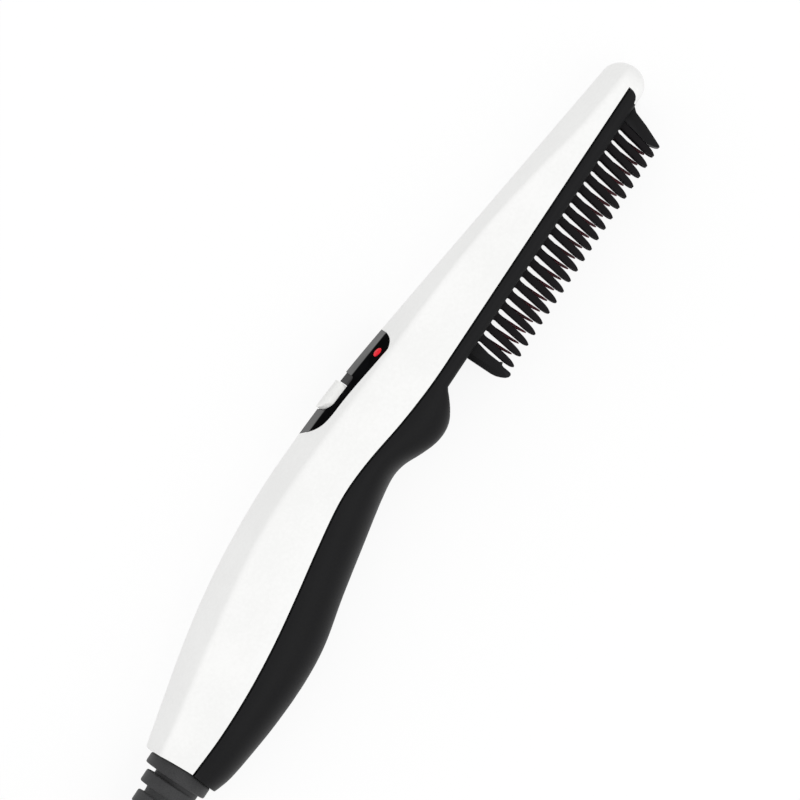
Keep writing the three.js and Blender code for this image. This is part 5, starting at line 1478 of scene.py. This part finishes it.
def carrier_box(name, margin, top):
    """The block of the fuse carrier, or of the pocket that it sits in."""
    half = CARRIER_HALF_WIDTH + margin
    ends = (carrier_end - margin, carrier_start + margin)
    bottom = plug_top - CARRIER_THICKNESS - margin
    return box(name, *ends, PLUG_MIDDLE - half, PLUG_MIDDLE + half, bottom, top)


plug_rings = [[(x, y, FLOOR + height) for x, y in plug_outline(margin)] for height, margin in PLUG_LAYERS]
plug = loft("plug", plug_rings)
cut(plug, carrier_box("carrier pocket", FIT, FAR_OUT))
for side in (1, -1):
    for step in range(GRIP_COUNT):
        x = PLUG_NEAR_FACE - GRIP_START - GRIP_PITCH * step
        y = PLUG_MIDDLE + side * (PLUG_WIDTH / 2 + GRIP_OUT)
        groove = [(x + a, y + b) for a, b in circle(GRIP_RADIUS, 16)]
        cut(plug, along_z("groove", groove, FLOOR + GRIP_END, plug_top - GRIP_END))
smooth(plug, 34)
dress(plug, "black_shell", "plug_body")

# %% [markdown]
# The live and neutral pins have a black sleeve next to the plug's face, and the longer earth pin has none.
# The pins are brass, with a small slope round their ends.

# %% A pin and its sleeve
PIN_SEAT = 8
PIN_WIDTH = 6.35
PIN_THICKNESS = 4
PIN_REACH = 17.7
PIN_CORNER = 0.35
PIN_SLEEVE = 9.2
PIN_SLEEVE_GROWTH = 0.12
PIN_END = [(1.6, 0), (0.5, 0.75), (0.15, 1.15), (0, 1.7)]


def pin_ring(x, y, z, along, across):
    """A rectangle with small round corners, level."""
    ring = []
    for a, b, first in ((1, 1, 0), (-1, 1, 90), (-1, -1, 180), (1, -1, 270)):
        corner_x = x + a * (along / 2 - PIN_CORNER)
        corner_y = y + b * (across / 2 - PIN_CORNER)
        ring += [(*place, z) for place in corner_arc(corner_x, corner_y, PIN_CORNER, first, 30)]
    return ring


def pin(name, x, y, along, across, reach):
    """A pin, from its seat in the plug to its sloped end."""
    layers = [(plug_top - PIN_SEAT, 0)] + [(plug_top + reach - depth, inward) for depth, inward in PIN_END]
    rings = [pin_ring(x, y, z, along - inward, across - inward) for z, inward in layers]
    return smooth(loft(name, rings), 34)


def pin_sleeve(name, x, y):
    """A sleeve a little thicker than the pin in it."""
    end = plug_top + PIN_SLEEVE
    rings = []
    for z, grow in ((plug_top - 1, 0), (end - 0.2, 0), (end, -0.06)):
        along, across = [size + PIN_SLEEVE_GROWTH + grow for size in (PIN_THICKNESS, PIN_WIDTH)]
        rings.append(pin_ring(x, y, z, along, across))
    return smooth(loft(name, rings), 34)


print("a pin stands", PIN_REACH, "mm out of the plug, and the earth pin more")

# %% [markdown]
# The live and neutral pins stand side by side, and the earth pin stands further from the cord. The fuse
# carrier lies flush between the three, with a notch at each end to lift it by.

# %% Pins and the fuse carrier
PIN_LINE = 14
PIN_SPACING = 22.2
EARTH_WIDTH = 4
EARTH_LENGTH = 8
EARTH_REACH = 22.7
NOTCH_INSET = 1.6
NOTCH_HALF_LENGTH = 0.5
NOTCH_HALF_WIDTH = 1.8
NOTCH_DEPTH = 0.6
pin_line = PLUG_NEAR_FACE - PIN_LINE

plug_pieces = [plug, tie]
for pole, side in (("live", 1), ("neutral", -1)):
    place = (pin_line, PLUG_MIDDLE + side * PIN_SPACING / 2)
    piece = pin("pin_" + pole, *place, PIN_THICKNESS, PIN_WIDTH, PIN_REACH)
    plug_pieces.append(dress(piece, "pin_brass", "plug_pin_" + pole))
    plug_pieces.append(dress(pin_sleeve("pin_sleeve_" + pole, *place), "black_shell"))
earth = pin("pin_earth", pin_line - PIN_SPACING, PLUG_MIDDLE, EARTH_LENGTH, EARTH_WIDTH, EARTH_REACH)
plug_pieces.append(dress(earth, "pin_brass", "plug_pin_earth"))
carrier = carrier_box("carrier", 0, plug_top)
for x in (carrier_end + NOTCH_INSET, carrier_start - NOTCH_INSET):
    ends = (x - NOTCH_HALF_LENGTH, x + NOTCH_HALF_LENGTH)
    sides = (PLUG_MIDDLE - NOTCH_HALF_WIDTH, PLUG_MIDDLE + NOTCH_HALF_WIDTH)
    cut(carrier, box("notch", *ends, *sides, plug_top - NOTCH_DEPTH, FAR_OUT))
soft_edges(carrier, 0.25)
smooth(carrier, 30)
plug_pieces.append(dress(carrier, "carrier_cream", "fuse_carrier"))

# %% [markdown]
# Where the cord enters the plug, a short ribbed sleeve keeps it from bending sharply. It is turned from a
# profile whose ribs get smaller towards the cord.

# %% The sleeve where the cord enters the plug
PLUG_SLEEVE_LENGTH = 15
PLUG_SLEEVE_RADIUS = 5.2
SLEEVE_RIBS = 5
SLEEVE_RIB = [(0, 0), (1.7, 0.2), (1.7, 1), (2.6, 1.1)]
SLEEVE_NOSE = [(0.8, 0.7), (0, 0.5), (0, 0)]

sleeve_profile = [(PLUG_NEAR_FACE + FIT - 0.2, PLUG_SLEEVE_RADIUS)]
for share in spread(0.06, 0.94, SLEEVE_RIBS):
    start = PLUG_NEAR_FACE + share * PLUG_SLEEVE_LENGTH
    radius = mix(PLUG_SLEEVE_RADIUS, CORD_RADIUS + 0.6, share)
    sleeve_profile += [(start + x, radius - drop) for x, drop in SLEEVE_RIB]
sleeve_profile += [(SLEEVE_END - x, CORD_RADIUS + wall) for x, wall in SLEEVE_NOSE]
sleeve_rings = []
for x, radius in eased(sleeve_profile, 0.3):
    sleeve_rings.append([(x, PLUG_MIDDLE + a, plug_cord_z + b) for a, b in circle(radius, 40)])
plug_sleeve = smooth(loft("plug_sleeve_ribbed", sleeve_rings), 50)
plug_pieces.append(dress(plug_sleeve, "boot_rubber", "plug_sleeve"))

# %% [markdown]
# ## The screws
# The heads of the case screws can be seen down their holes in the belly. A pan head is turned from a
# profile and has a cross recess, cut with two crossed wedges.

# %% Case screws
SCREW_HEAD = [(0, 1), (1.0, 1), (1.55, 0.8), (1.8, 0.45)]
CROSS_REACH = 1.5
CROSS_WIDTH = 0.28
CROSS_DEPTH = 1.3
CROSS_NARROW = 0.6


def cross_wedge(x, low, along, across):
    """One wedge of the cross recess. Its long direction is shorter at the bottom of the recess."""
    shorter = (along * CROSS_NARROW, across) if along > across else (along, across * CROSS_NARROW)
    rings = []
    for y, (a, b) in ((low, (along, across)), (low + CROSS_DEPTH, shorter)):
        rings.append([(x - a, y, -b), (x + a, y, -b), (x + a, y, b), (x - a, y, b)])
    return loft("recess", rings)


def screw_piece(name, x, seat, length):
    """A pan head screw that points up, with its head under the seat."""
    point = SCREW_RADIUS * 1.2
    profile = [(seat + length, 0.1), (seat + length - point, SCREW_RADIUS), (seat, SCREW_RADIUS)]
    profile += [(seat - drop, SCREW_HEAD_RADIUS * share) for drop, share in SCREW_HEAD]
    profile.append((seat - SCREW_HEAD[-1][0], 0.05))
    piece = loft(name, [[(x + a, y, b) for a, b in circle(radius)] for y, radius in eased(profile, 0.3)])
    cut(piece, cross_wedge(x, seat - 2, CROSS_REACH, CROSS_WIDTH))
    cut(piece, cross_wedge(x, seat - 2, CROSS_WIDTH, CROSS_REACH))
    return smooth(piece, 34)


for screw in CASE_SCREWS:
    piece = screw_piece(screw["name"] + "_cross", screw["x"], screw["seat"] - FIT, screw["length"])
    dress(piece, "screw_steel", screw["name"])

# %% [markdown]
# ## Shader maths
# A material is a small program. Its maths is easier to read as an expression than as a web of nodes, so one
# class wraps a socket and adds a Math node for each sum, and another holds a material while it is being
# made. Places on a surface come from object coordinates in metres, so the grain keeps its real size on
# every piece.

# %% Sockets that can be added and multiplied
class Link:
    """A number that changes over the surface."""

    def __init__(self, nodes, socket):
        self.nodes = nodes
        self.socket = socket

    def maths(self, operation, a, b):
        """One sum, as a node."""
        return self.nodes.node("Math", {"operation": operation}, {0: a, 1: b})

    def __add__(self, other):
        return self.maths("ADD", self, other)

    def __radd__(self, other):
        return self.maths("ADD", other, self)

    def __sub__(self, other):
        return self.maths("SUBTRACT", self, other)

    def __rsub__(self, other):
        return self.maths("SUBTRACT", other, self)

    def __mul__(self, other):
        return self.maths("MULTIPLY", self, other)

    def __rmul__(self, other):
        return self.maths("MULTIPLY", other, self)


class Nodes:
    """A tree of nodes while it is being made."""

    def __init__(self, tree):
        self.tree = tree

    def feed(self, node, inputs):
        """Sets the sockets of a node, or links them."""
        for key, value in inputs.items():
            if isinstance(value, Link):
                self.tree.links.new(value.socket, node.inputs[key])
            else:
                node.inputs[key].default_value = value

    def node(self, kind, settings, inputs, output=0):
        """Any node: its settings come first, because they can change its sockets."""
        node = self.tree.nodes.new("ShaderNode" + kind)
        for key, value in settings.items():
            setattr(node, key, value)
        self.feed(node, inputs)
        return Link(self, node.outputs[output])

    def blend(self, share, first, second):
        """A colour between two colours."""
        return self.node("Mix", {"data_type": "RGBA"}, {0: share, 6: first, 7: second}, 2)

# %% [markdown]
# A finish starts as Blender's Principled shader. A value that is the same all over is set on the shader
# itself, and only what changes over the surface is linked to it. Patterns are given by the width of their
# blobs in millimetres, because that can be judged on the real thing. Colours are written as a picture shows
# them and turned into light.

# %% Finishes and colours
class Finish(Nodes):
    """A material while it is being made."""

    def __init__(self, name, **values):
        self.material = bpy.data.materials.new(name)
        self.material.use_nodes = True
        super().__init__(self.material.node_tree)
        self.shader = self.tree.nodes["Principled BSDF"]
        self.feed(self.shader, {key.replace("_", " "): value for key, value in values.items()})

    def place(self, stretch=(1, 1, 1)):
        """Where a point of the surface is, in metres, with each direction scaled."""
        where = self.node("TexCoord", {}, {}, "Object")
        if stretch == (1, 1, 1):
            return where
        return self.node("VectorMath", {"operation": "MULTIPLY"}, {0: where, 1: stretch})

    def noise(self, size, detail=2.0, rough=0.5, stretch=(1, 1, 1)):
        """A cloudy pattern whose blobs are about size millimetres wide, from 0 to 1."""
        inputs = {
            "Vector": self.place(stretch), "Scale": 1 / (size * MM), "Detail": detail, "Roughness": rough,
        }
        return self.node("TexNoise", {}, inputs, "Fac")

    def between(self, share, low, high):
        """0 where share is under low, 1 where it is over high."""
        inputs = {"Value": share, "From Min": low, "From Max": high}
        return self.node("MapRange", {"interpolation_type": "SMOOTHSTEP"}, inputs)

    def edges(self, low=0.52, high=0.62):
        """The worn edges: 1 where the surface is sharply convex."""
        return self.between(self.node("NewGeometry", {}, {}, "Pointiness"), low, high)

    def bump(self, height, depth, strength):
        """Bumps of a depth in millimetres."""
        inputs = {"Height": height, "Distance": depth * MM, "Strength": strength}
        self.feed(self.shader, {"Normal": self.node("Bump", {}, inputs)})

    def vary(self, **links):
        """Feeds what changes over the surface."""
        self.feed(self.shader, {key.replace("_", " "): value for key, value in links.items()})


def written(code):
    """A colour as it is written in a picture, such as 2a2a2b, as the light that it stands for."""
    parts = [int(code[i:i + 2], 16) / 255 for i in (0, 2, 4)]
    return (*[part / 12.92 if part <= 0.04045 else ((part + 0.055) / 1.055) ** 2.4 for part in parts], 1)


def lit(colour, share):
    """A colour with a share of its light."""
    return tuple(part * share for part in colour[:3]) + (1,)


finishes = {}
print("a picture's grey of 808080 stands for", round(written("808080")[0], 3), "of the light of white")

# %% [markdown]
# ## Plastics
# The shells are moulded in tools whose steel was etched by sparks, which leaves a grain of about a quarter
# of a millimetre. The white one is smoother than the black. Hands leave the gloss a little uneven, so the
# roughness follows a wide soft noise, and the colour changes by a trace.

# %% White plastic
def white_plastic(name, code, roughness, grain):
    """White, a trace darker where it was handled."""
    finish = Finish(name, Specular_IOR_Level=0.4)
    cloud = finish.noise(26, 3, 0.55)
    speck = finish.noise(1.1, 2, 0.6)
    tone = cloud * 0.6 + speck * 0.4
    light = written(code)
    finish.vary(Base_Color=finish.blend(finish.between(tone, 0.35, 0.65), lit(light, 0.955), light))
    finish.vary(Roughness=roughness + (cloud - 0.5) * 0.22 + (speck - 0.5) * 0.1)
    finish.bump(finish.noise(grain, 2, 0.6) + 0.35 * finish.noise(grain * 3.4, 1), 0.016, 0.5)
    return finish.material


finishes["white_shell"] = white_plastic("white shell plastic", "f6f6f5", 0.42, 0.24)
finishes["knob_white"] = white_plastic("knob plastic", "f9f9f7", 0.33, 0.18)
print("finishes so far:", *finishes)

# %% [markdown]
# On black plastic, wear shows along the edges, where the grain is rubbed smooth and pale. Blender measures
# how sharply the surface bends at each point, and that tells the shader where the edges are.

# %% Black plastic
def black_plastic(name, code, roughness, grain, depth=0.022):
    """Black, with paler and smoother edges where it is worn."""
    finish = Finish(name, Specular_IOR_Level=0.08)
    cloud = finish.noise(18, 3, 0.55)
    speck = finish.noise(grain * 2.2, 2, 0.6)
    edge = finish.edges()
    base = written(code)
    tone = finish.between(cloud * 0.5 + speck * 0.5, 0.3, 0.7)
    body = finish.blend(tone, lit(base, 0.8), base)
    finish.vary(Base_Color=finish.blend(edge * 0.5, body, lit(base, 1.9)))
    finish.vary(Roughness=roughness + (cloud - 0.5) * 0.2 + (speck - 0.5) * 0.12 - edge * 0.08)
    finish.bump(finish.noise(grain, 2, 0.65), depth, 0.6)
    return finish.material


finishes["black_shell"] = black_plastic("black shell plastic", "1c1c1d", 0.46, 0.3)
finishes["comb_black"] = black_plastic("comb plastic", "171517", 0.42, 0.22, 0.014)
print("finishes so far:", *finishes)

# %% [markdown]
# The panel is the only high gloss plastic. Its top facet is polished nearly to a mirror, which is a clear
# coat over the black, and its side facets are plain. Use leaves fine scratches that run mostly along the
# slot, and faint smears from fingers. Both make the gloss rougher, and the smears also dull the coat and
# lift the black by a trace. The lamp's lens is clear red plastic in front of a small light. A faint red
# glow is painted into the lens as an emission of its own.

# %% Gloss black and the lamp
gloss = Finish("gloss black plastic", Specular_IOR_Level=0.0, Coat_Roughness=0.04)
across = gloss.node("SeparateXYZ", {}, {0: gloss.place()}, 2) - middle_plane
aside = gloss.node("Math", {"operation": "ABSOLUTE"}, {0: across})
polished = 1 - gloss.between(aside, (PANEL_CREASE - 1) * MM, (PANEL_CREASE + 0.2) * MM)
smear = gloss.between(gloss.noise(7, 3, 0.6), 0.42, 0.75)
scratch = gloss.between(gloss.noise(0.35, 1, 0.5, (0.06, 1, 1)), 0.62, 0.72)
gloss.vary(Base_Color=gloss.blend(smear, written("0b0b0c"), written("111113")))
gloss.vary(Roughness=0.07 + smear * 0.09 + scratch * 0.12)
gloss.vary(Coat_Weight=polished * (0.72 - smear * 0.12))
gloss.bump(scratch, 0.002, 0.3)
finishes["panel_black"] = gloss.material

# The lens's emission is a painted glow, not light from the lamp behind it.
lens = Finish("red lens", Specular_IOR_Level=0.05, Emission_Strength=0.2)
swirl = lens.noise(0.9, 2, 0.5)
lens.vary(Base_Color=lens.blend(lens.between(swirl, 0.3, 0.7), written("c80f22"), written("e8202f")))
lens.vary(Emission_Color=lens.blend(lens.between(swirl, 0.3, 0.7), written("b00818"), written("e0182c")))
lens.vary(Roughness=0.12 + swirl * 0.12)
lens.bump(lens.noise(0.5, 1), 0.01, 0.3)
finishes["lamp_red"] = lens.material
print("finishes so far:", *finishes)

# %% [markdown]
# ## Rubber and the cord's jacket
# Soft rubber is dull and picks up dust, so its raised grain is a little lighter than its hollows. The
# jacket of the cord is drawn out of a die, which leaves it smoother, with a shallower grain.

# %% Rubber and jacket
def soft_black(name, code, roughness, grain, depth, dust):
    """Dull black, with dust that makes its high spots paler."""
    finish = Finish(name, Specular_IOR_Level=0.35, Sheen_Weight=0.08, Sheen_Roughness=0.5)
    cloud = finish.noise(9, 3, 0.6)
    speck = finish.noise(grain, 2, 0.65)
    base = written(code)
    tone = finish.between(speck * 0.6 + cloud * 0.4, 0.35, 0.7)
    finish.vary(Base_Color=finish.blend(tone, base, lit(base, 1 + dust)))
    finish.vary(Roughness=roughness + (cloud - 0.5) * 0.2 + (speck - 0.5) * 0.1)
    finish.bump(speck + 0.5 * cloud, depth, 0.7)
    return finish.material


finishes["boot_rubber"] = soft_black("boot rubber", "2c2c2d", 0.62, 0.4, 0.03, 0.7)
finishes["cord_jacket"] = soft_black("cord jacket", "1b1b1c", 0.5, 0.55, 0.015, 0.4)
print("finishes so far:", *finishes)

# %% [markdown]
# ## Metals
# The heated comb has a dark reddish non-stick coat with a faint sparkle, worn to bare metal on its sharpest
# edges. The screws are plated, with fine lines along them, and the brass pins have long scratches from
# being pushed into sockets.

# %% Metals
coat = Finish("heated coat", Specular_IOR_Level=0.5, Coat_Roughness=0.25)
flake = coat.noise(0.35, 2, 0.7)
patch = coat.noise(6, 2, 0.5)
bare = coat.edges(0.56, 0.7)
paint = coat.blend(coat.between(patch * 0.4 + flake * 0.6, 0.35, 0.65), written("340c13"), written("561722"))
coat.vary(Base_Color=coat.blend(bare * 0.6, paint, written("9a8a88")))
coat.vary(Metallic=0.35 + bare * 0.4)
coat.vary(Roughness=0.36 + (patch - 0.5) * 0.2 + (flake - 0.5) * 0.15)
coat.bump(flake, 0.012, 0.5)
finishes["heated_coat"] = coat.material


def bare_metal(name, code, dull, roughness, grain, stretch):
    """Metal with dull stains, and fine lines along the direction that is stretched."""
    finish = Finish(name, Metallic=1.0)
    stain = finish.between(finish.noise(4, 3, 0.6), 0.4, 0.75)
    line = finish.noise(grain, 2, 0.6, stretch)
    finish.vary(Base_Color=finish.blend(stain * 0.7, written(code), written(dull)))
    finish.vary(Roughness=roughness + stain * 0.16 + (line - 0.5) * 0.2)
    finish.bump(line, 0.006, 0.4)
    return finish.material


finishes["screw_steel"] = bare_metal("plated steel", "b9bbbe", "8e8f91", 0.28, 0.3, (1, 0.2, 1))
finishes["pin_brass"] = bare_metal("brass", "cfae62", "9c8347", 0.26, 0.3, (1, 1, 0.07))
print("finishes so far:", *finishes)

# %% [markdown]
# ## Inner materials
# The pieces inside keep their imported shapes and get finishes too: a green board with paler tracks under its
# mask, unglazed ceramic, thin amber film, and coloured wire. The cream plastic is for the plug's fuse
# carrier, which is the one of them that shows.

# %% Inner materials
TRACKS_PER_METRE = 260

board = Finish("board green", Specular_IOR_Level=0.5)
cells = {"Vector": board.place(), "Scale": TRACKS_PER_METRE}
track = board.node("TexVoronoi", {"feature": "DISTANCE_TO_EDGE"}, cells, "Distance")
copper = 1 - board.between(track, 0.05, 0.12)
weave = board.noise(0.5, 1, 0.5)
mask = board.blend(board.between(weave, 0.3, 0.7), written("19583a"), written("216b45"))
board.vary(Base_Color=board.blend(copper * 0.6, mask, written("3d8a55")))
board.vary(Roughness=0.4 + (weave - 0.5) * 0.2 - copper * 0.08)
board.bump(copper + weave * 0.2, 0.03, 0.5)
finishes["board_green"] = board.material


def matt(name, code, shade, roughness, grain, depth, level=0.4):
    """A plain material that is mottled between two colours."""
    finish = Finish(name, Specular_IOR_Level=level)
    speck = finish.noise(grain, 3, 0.65)
    cloud = finish.noise(grain * 12, 2, 0.5)
    tone = finish.between(speck * 0.6 + cloud * 0.4, 0.35, 0.65)
    finish.vary(Base_Color=finish.blend(tone, written(shade), written(code)))
    finish.vary(Roughness=roughness + (speck - 0.5) * 0.2 + (cloud - 0.5) * 0.1)
    finish.bump(speck, depth, 0.6)
    return finish.material


finishes["ceramic"] = matt("ceramic", "ddd8cc", "c9c3b4", 0.7, 0.35, 0.03)
finishes["film_amber"] = matt("amber film", "bd7a20", "a66817", 0.28, 0.9, 0.01, 0.5)
finishes["wire_brown"] = matt("brown wire", "6f3d20", "5f3219", 0.48, 0.4, 0.01)
finishes["wire_blue"] = matt("blue wire", "285eb2", "204f98", 0.48, 0.4, 0.01)
finishes["carrier_cream"] = matt("cream plastic", "dad1b7", "cdc3a6", 0.5, 0.3, 0.02)
print(len(finishes), "finishes")

# %% [markdown]
# Every piece that was built here takes the finish of its slot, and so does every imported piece. The record
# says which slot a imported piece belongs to.

# %% Finishes on pieces
def put_on(piece, finish):
    """Gives a piece one finish, in place of any that it has."""
    piece.data.materials.clear()
    piece.data.materials.append(finish)


slot_of = {subpart["node"]: subpart["material_slot"] for subpart in frame["record"]["subparts"]}
for node, piece in frame["nodes"].items():
    put_on(piece, finishes[slot_of[node]])
own_pieces = [
    piece for piece in bpy.context.scene.objects
    if piece.type == "MESH" and piece.get("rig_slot") and piece.name not in frame["nodes"]
]
for piece in own_pieces:
    put_on(piece, finishes[piece["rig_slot"]])
print(len(own_pieces), "pieces of this script and", len(frame["nodes"]), "packed pieces have a finish")

# %% [markdown]
# ## The cord's facts
# The frame checks a cord's real length, its thickness and its bends. The photograph shows only the boot, so
# the rest of the cord is put away: folded into a hank in line with the styler, with the plug behind it.

# %% The cord's points and the pieces at its far end
at(BOOT_END, BOOT_MIDDLE, 0)
[at(*point) for point in smooth_route]
plug_pieces + [frame["nodes"]["plug_fuse"]]
print("the cord's far end has", len(plug_pieces), "pieces with it")

# %% [markdown]
# ## Floor and light
# The photograph is a cut-out on white. The floor is a plain pale sheet. To the camera, and to reflections,
# most of its brightness comes from a glow of its own, so that it reads as white, and the rest comes from
# the lamp and the sky, so that the shadow stays. To all other light it is a plain pale surface.

# %% The floor
FLOOR_SIZE = 1.6
FLOOR_GLOW = 0.88

floor_mesh = bpy.data.meshes.new("floor")
corners = [(a * FLOOR_SIZE, b * FLOOR_SIZE, 0) for a, b in ((-1, -1), (1, -1), (1, 1), (-1, 1))]
floor_mesh.from_pydata(corners, [], [(0, 1, 2, 3)])
floor = new_object("floor", floor_mesh)

paper = Finish("paper", Specular_IOR_Level=0.0, Roughness=1.0, Emission_Strength=1.0)


def seen_or_mirrored(nodes):
    """1 for what the camera sees, straight or in a reflection or through glass."""
    kinds = ("Camera", "Glossy", "Transmission")
    rays = [nodes.node("LightPath", {}, {}, f"Is {kind} Ray") for kind in kinds]
    return rays[0] + rays[1] + rays[2]


def grey(level):
    """A neutral colour."""
    return (level, level, level, 1)


fibre = paper.noise(2, 2)
plain = paper.blend(fibre, grey(0.79), grey(0.81))
paper.vary(Base_Color=paper.blend(seen_or_mirrored(paper), plain, grey(1 - FLOOR_GLOW)))
paper.vary(Emission_Color=paper.blend(seen_or_mirrored(paper), grey(0), grey(FLOOR_GLOW)))
put_on(floor, paper.material)
print("the floor is", 2 * FLOOR_SIZE, "m wide")

# %% [markdown]
# The light is plain and soft. A pale sky gives most of it, and one large lamp over the comb's side of the
# styler gives the flat side a little more than the roof, which is what shows the crease between them.

# %% The sky and the lamp
SKY_LIGHT = 0.93
LAMP_POWER = 4.2
LAMP_SIZE = 1.2
LAMP_PLACE = (0.1, -0.9, 1.35)
LAMP_AIM = (0.02, 0, 0)

world = bpy.data.worlds.new("studio")
bpy.context.scene.world = world
world.use_nodes = True
sky = Nodes(world.node_tree)
sky.feed(
    world.node_tree.nodes["Background"],
    {"Color": sky.blend(seen_or_mirrored(sky), grey(SKY_LIGHT), grey(1)), "Strength": 1.0},
)

key = new_object("key", bpy.data.lights.new("key", "AREA"))
key.data.energy = LAMP_POWER
key.data.size = LAMP_SIZE
key.location = LAMP_PLACE
key.rotation_euler = (Vector(LAMP_AIM) - key.location).to_track_quat("-Z", "Y").to_euler()
print("the lamp is", round(key.location.length, 2), "m away")

# %% [markdown]
# The picture is kept plain: colours render as they are written, with no look or exposure laid over them.

# %% View settings and the end
bpy.context.scene.view_settings.view_transform = "Standard"
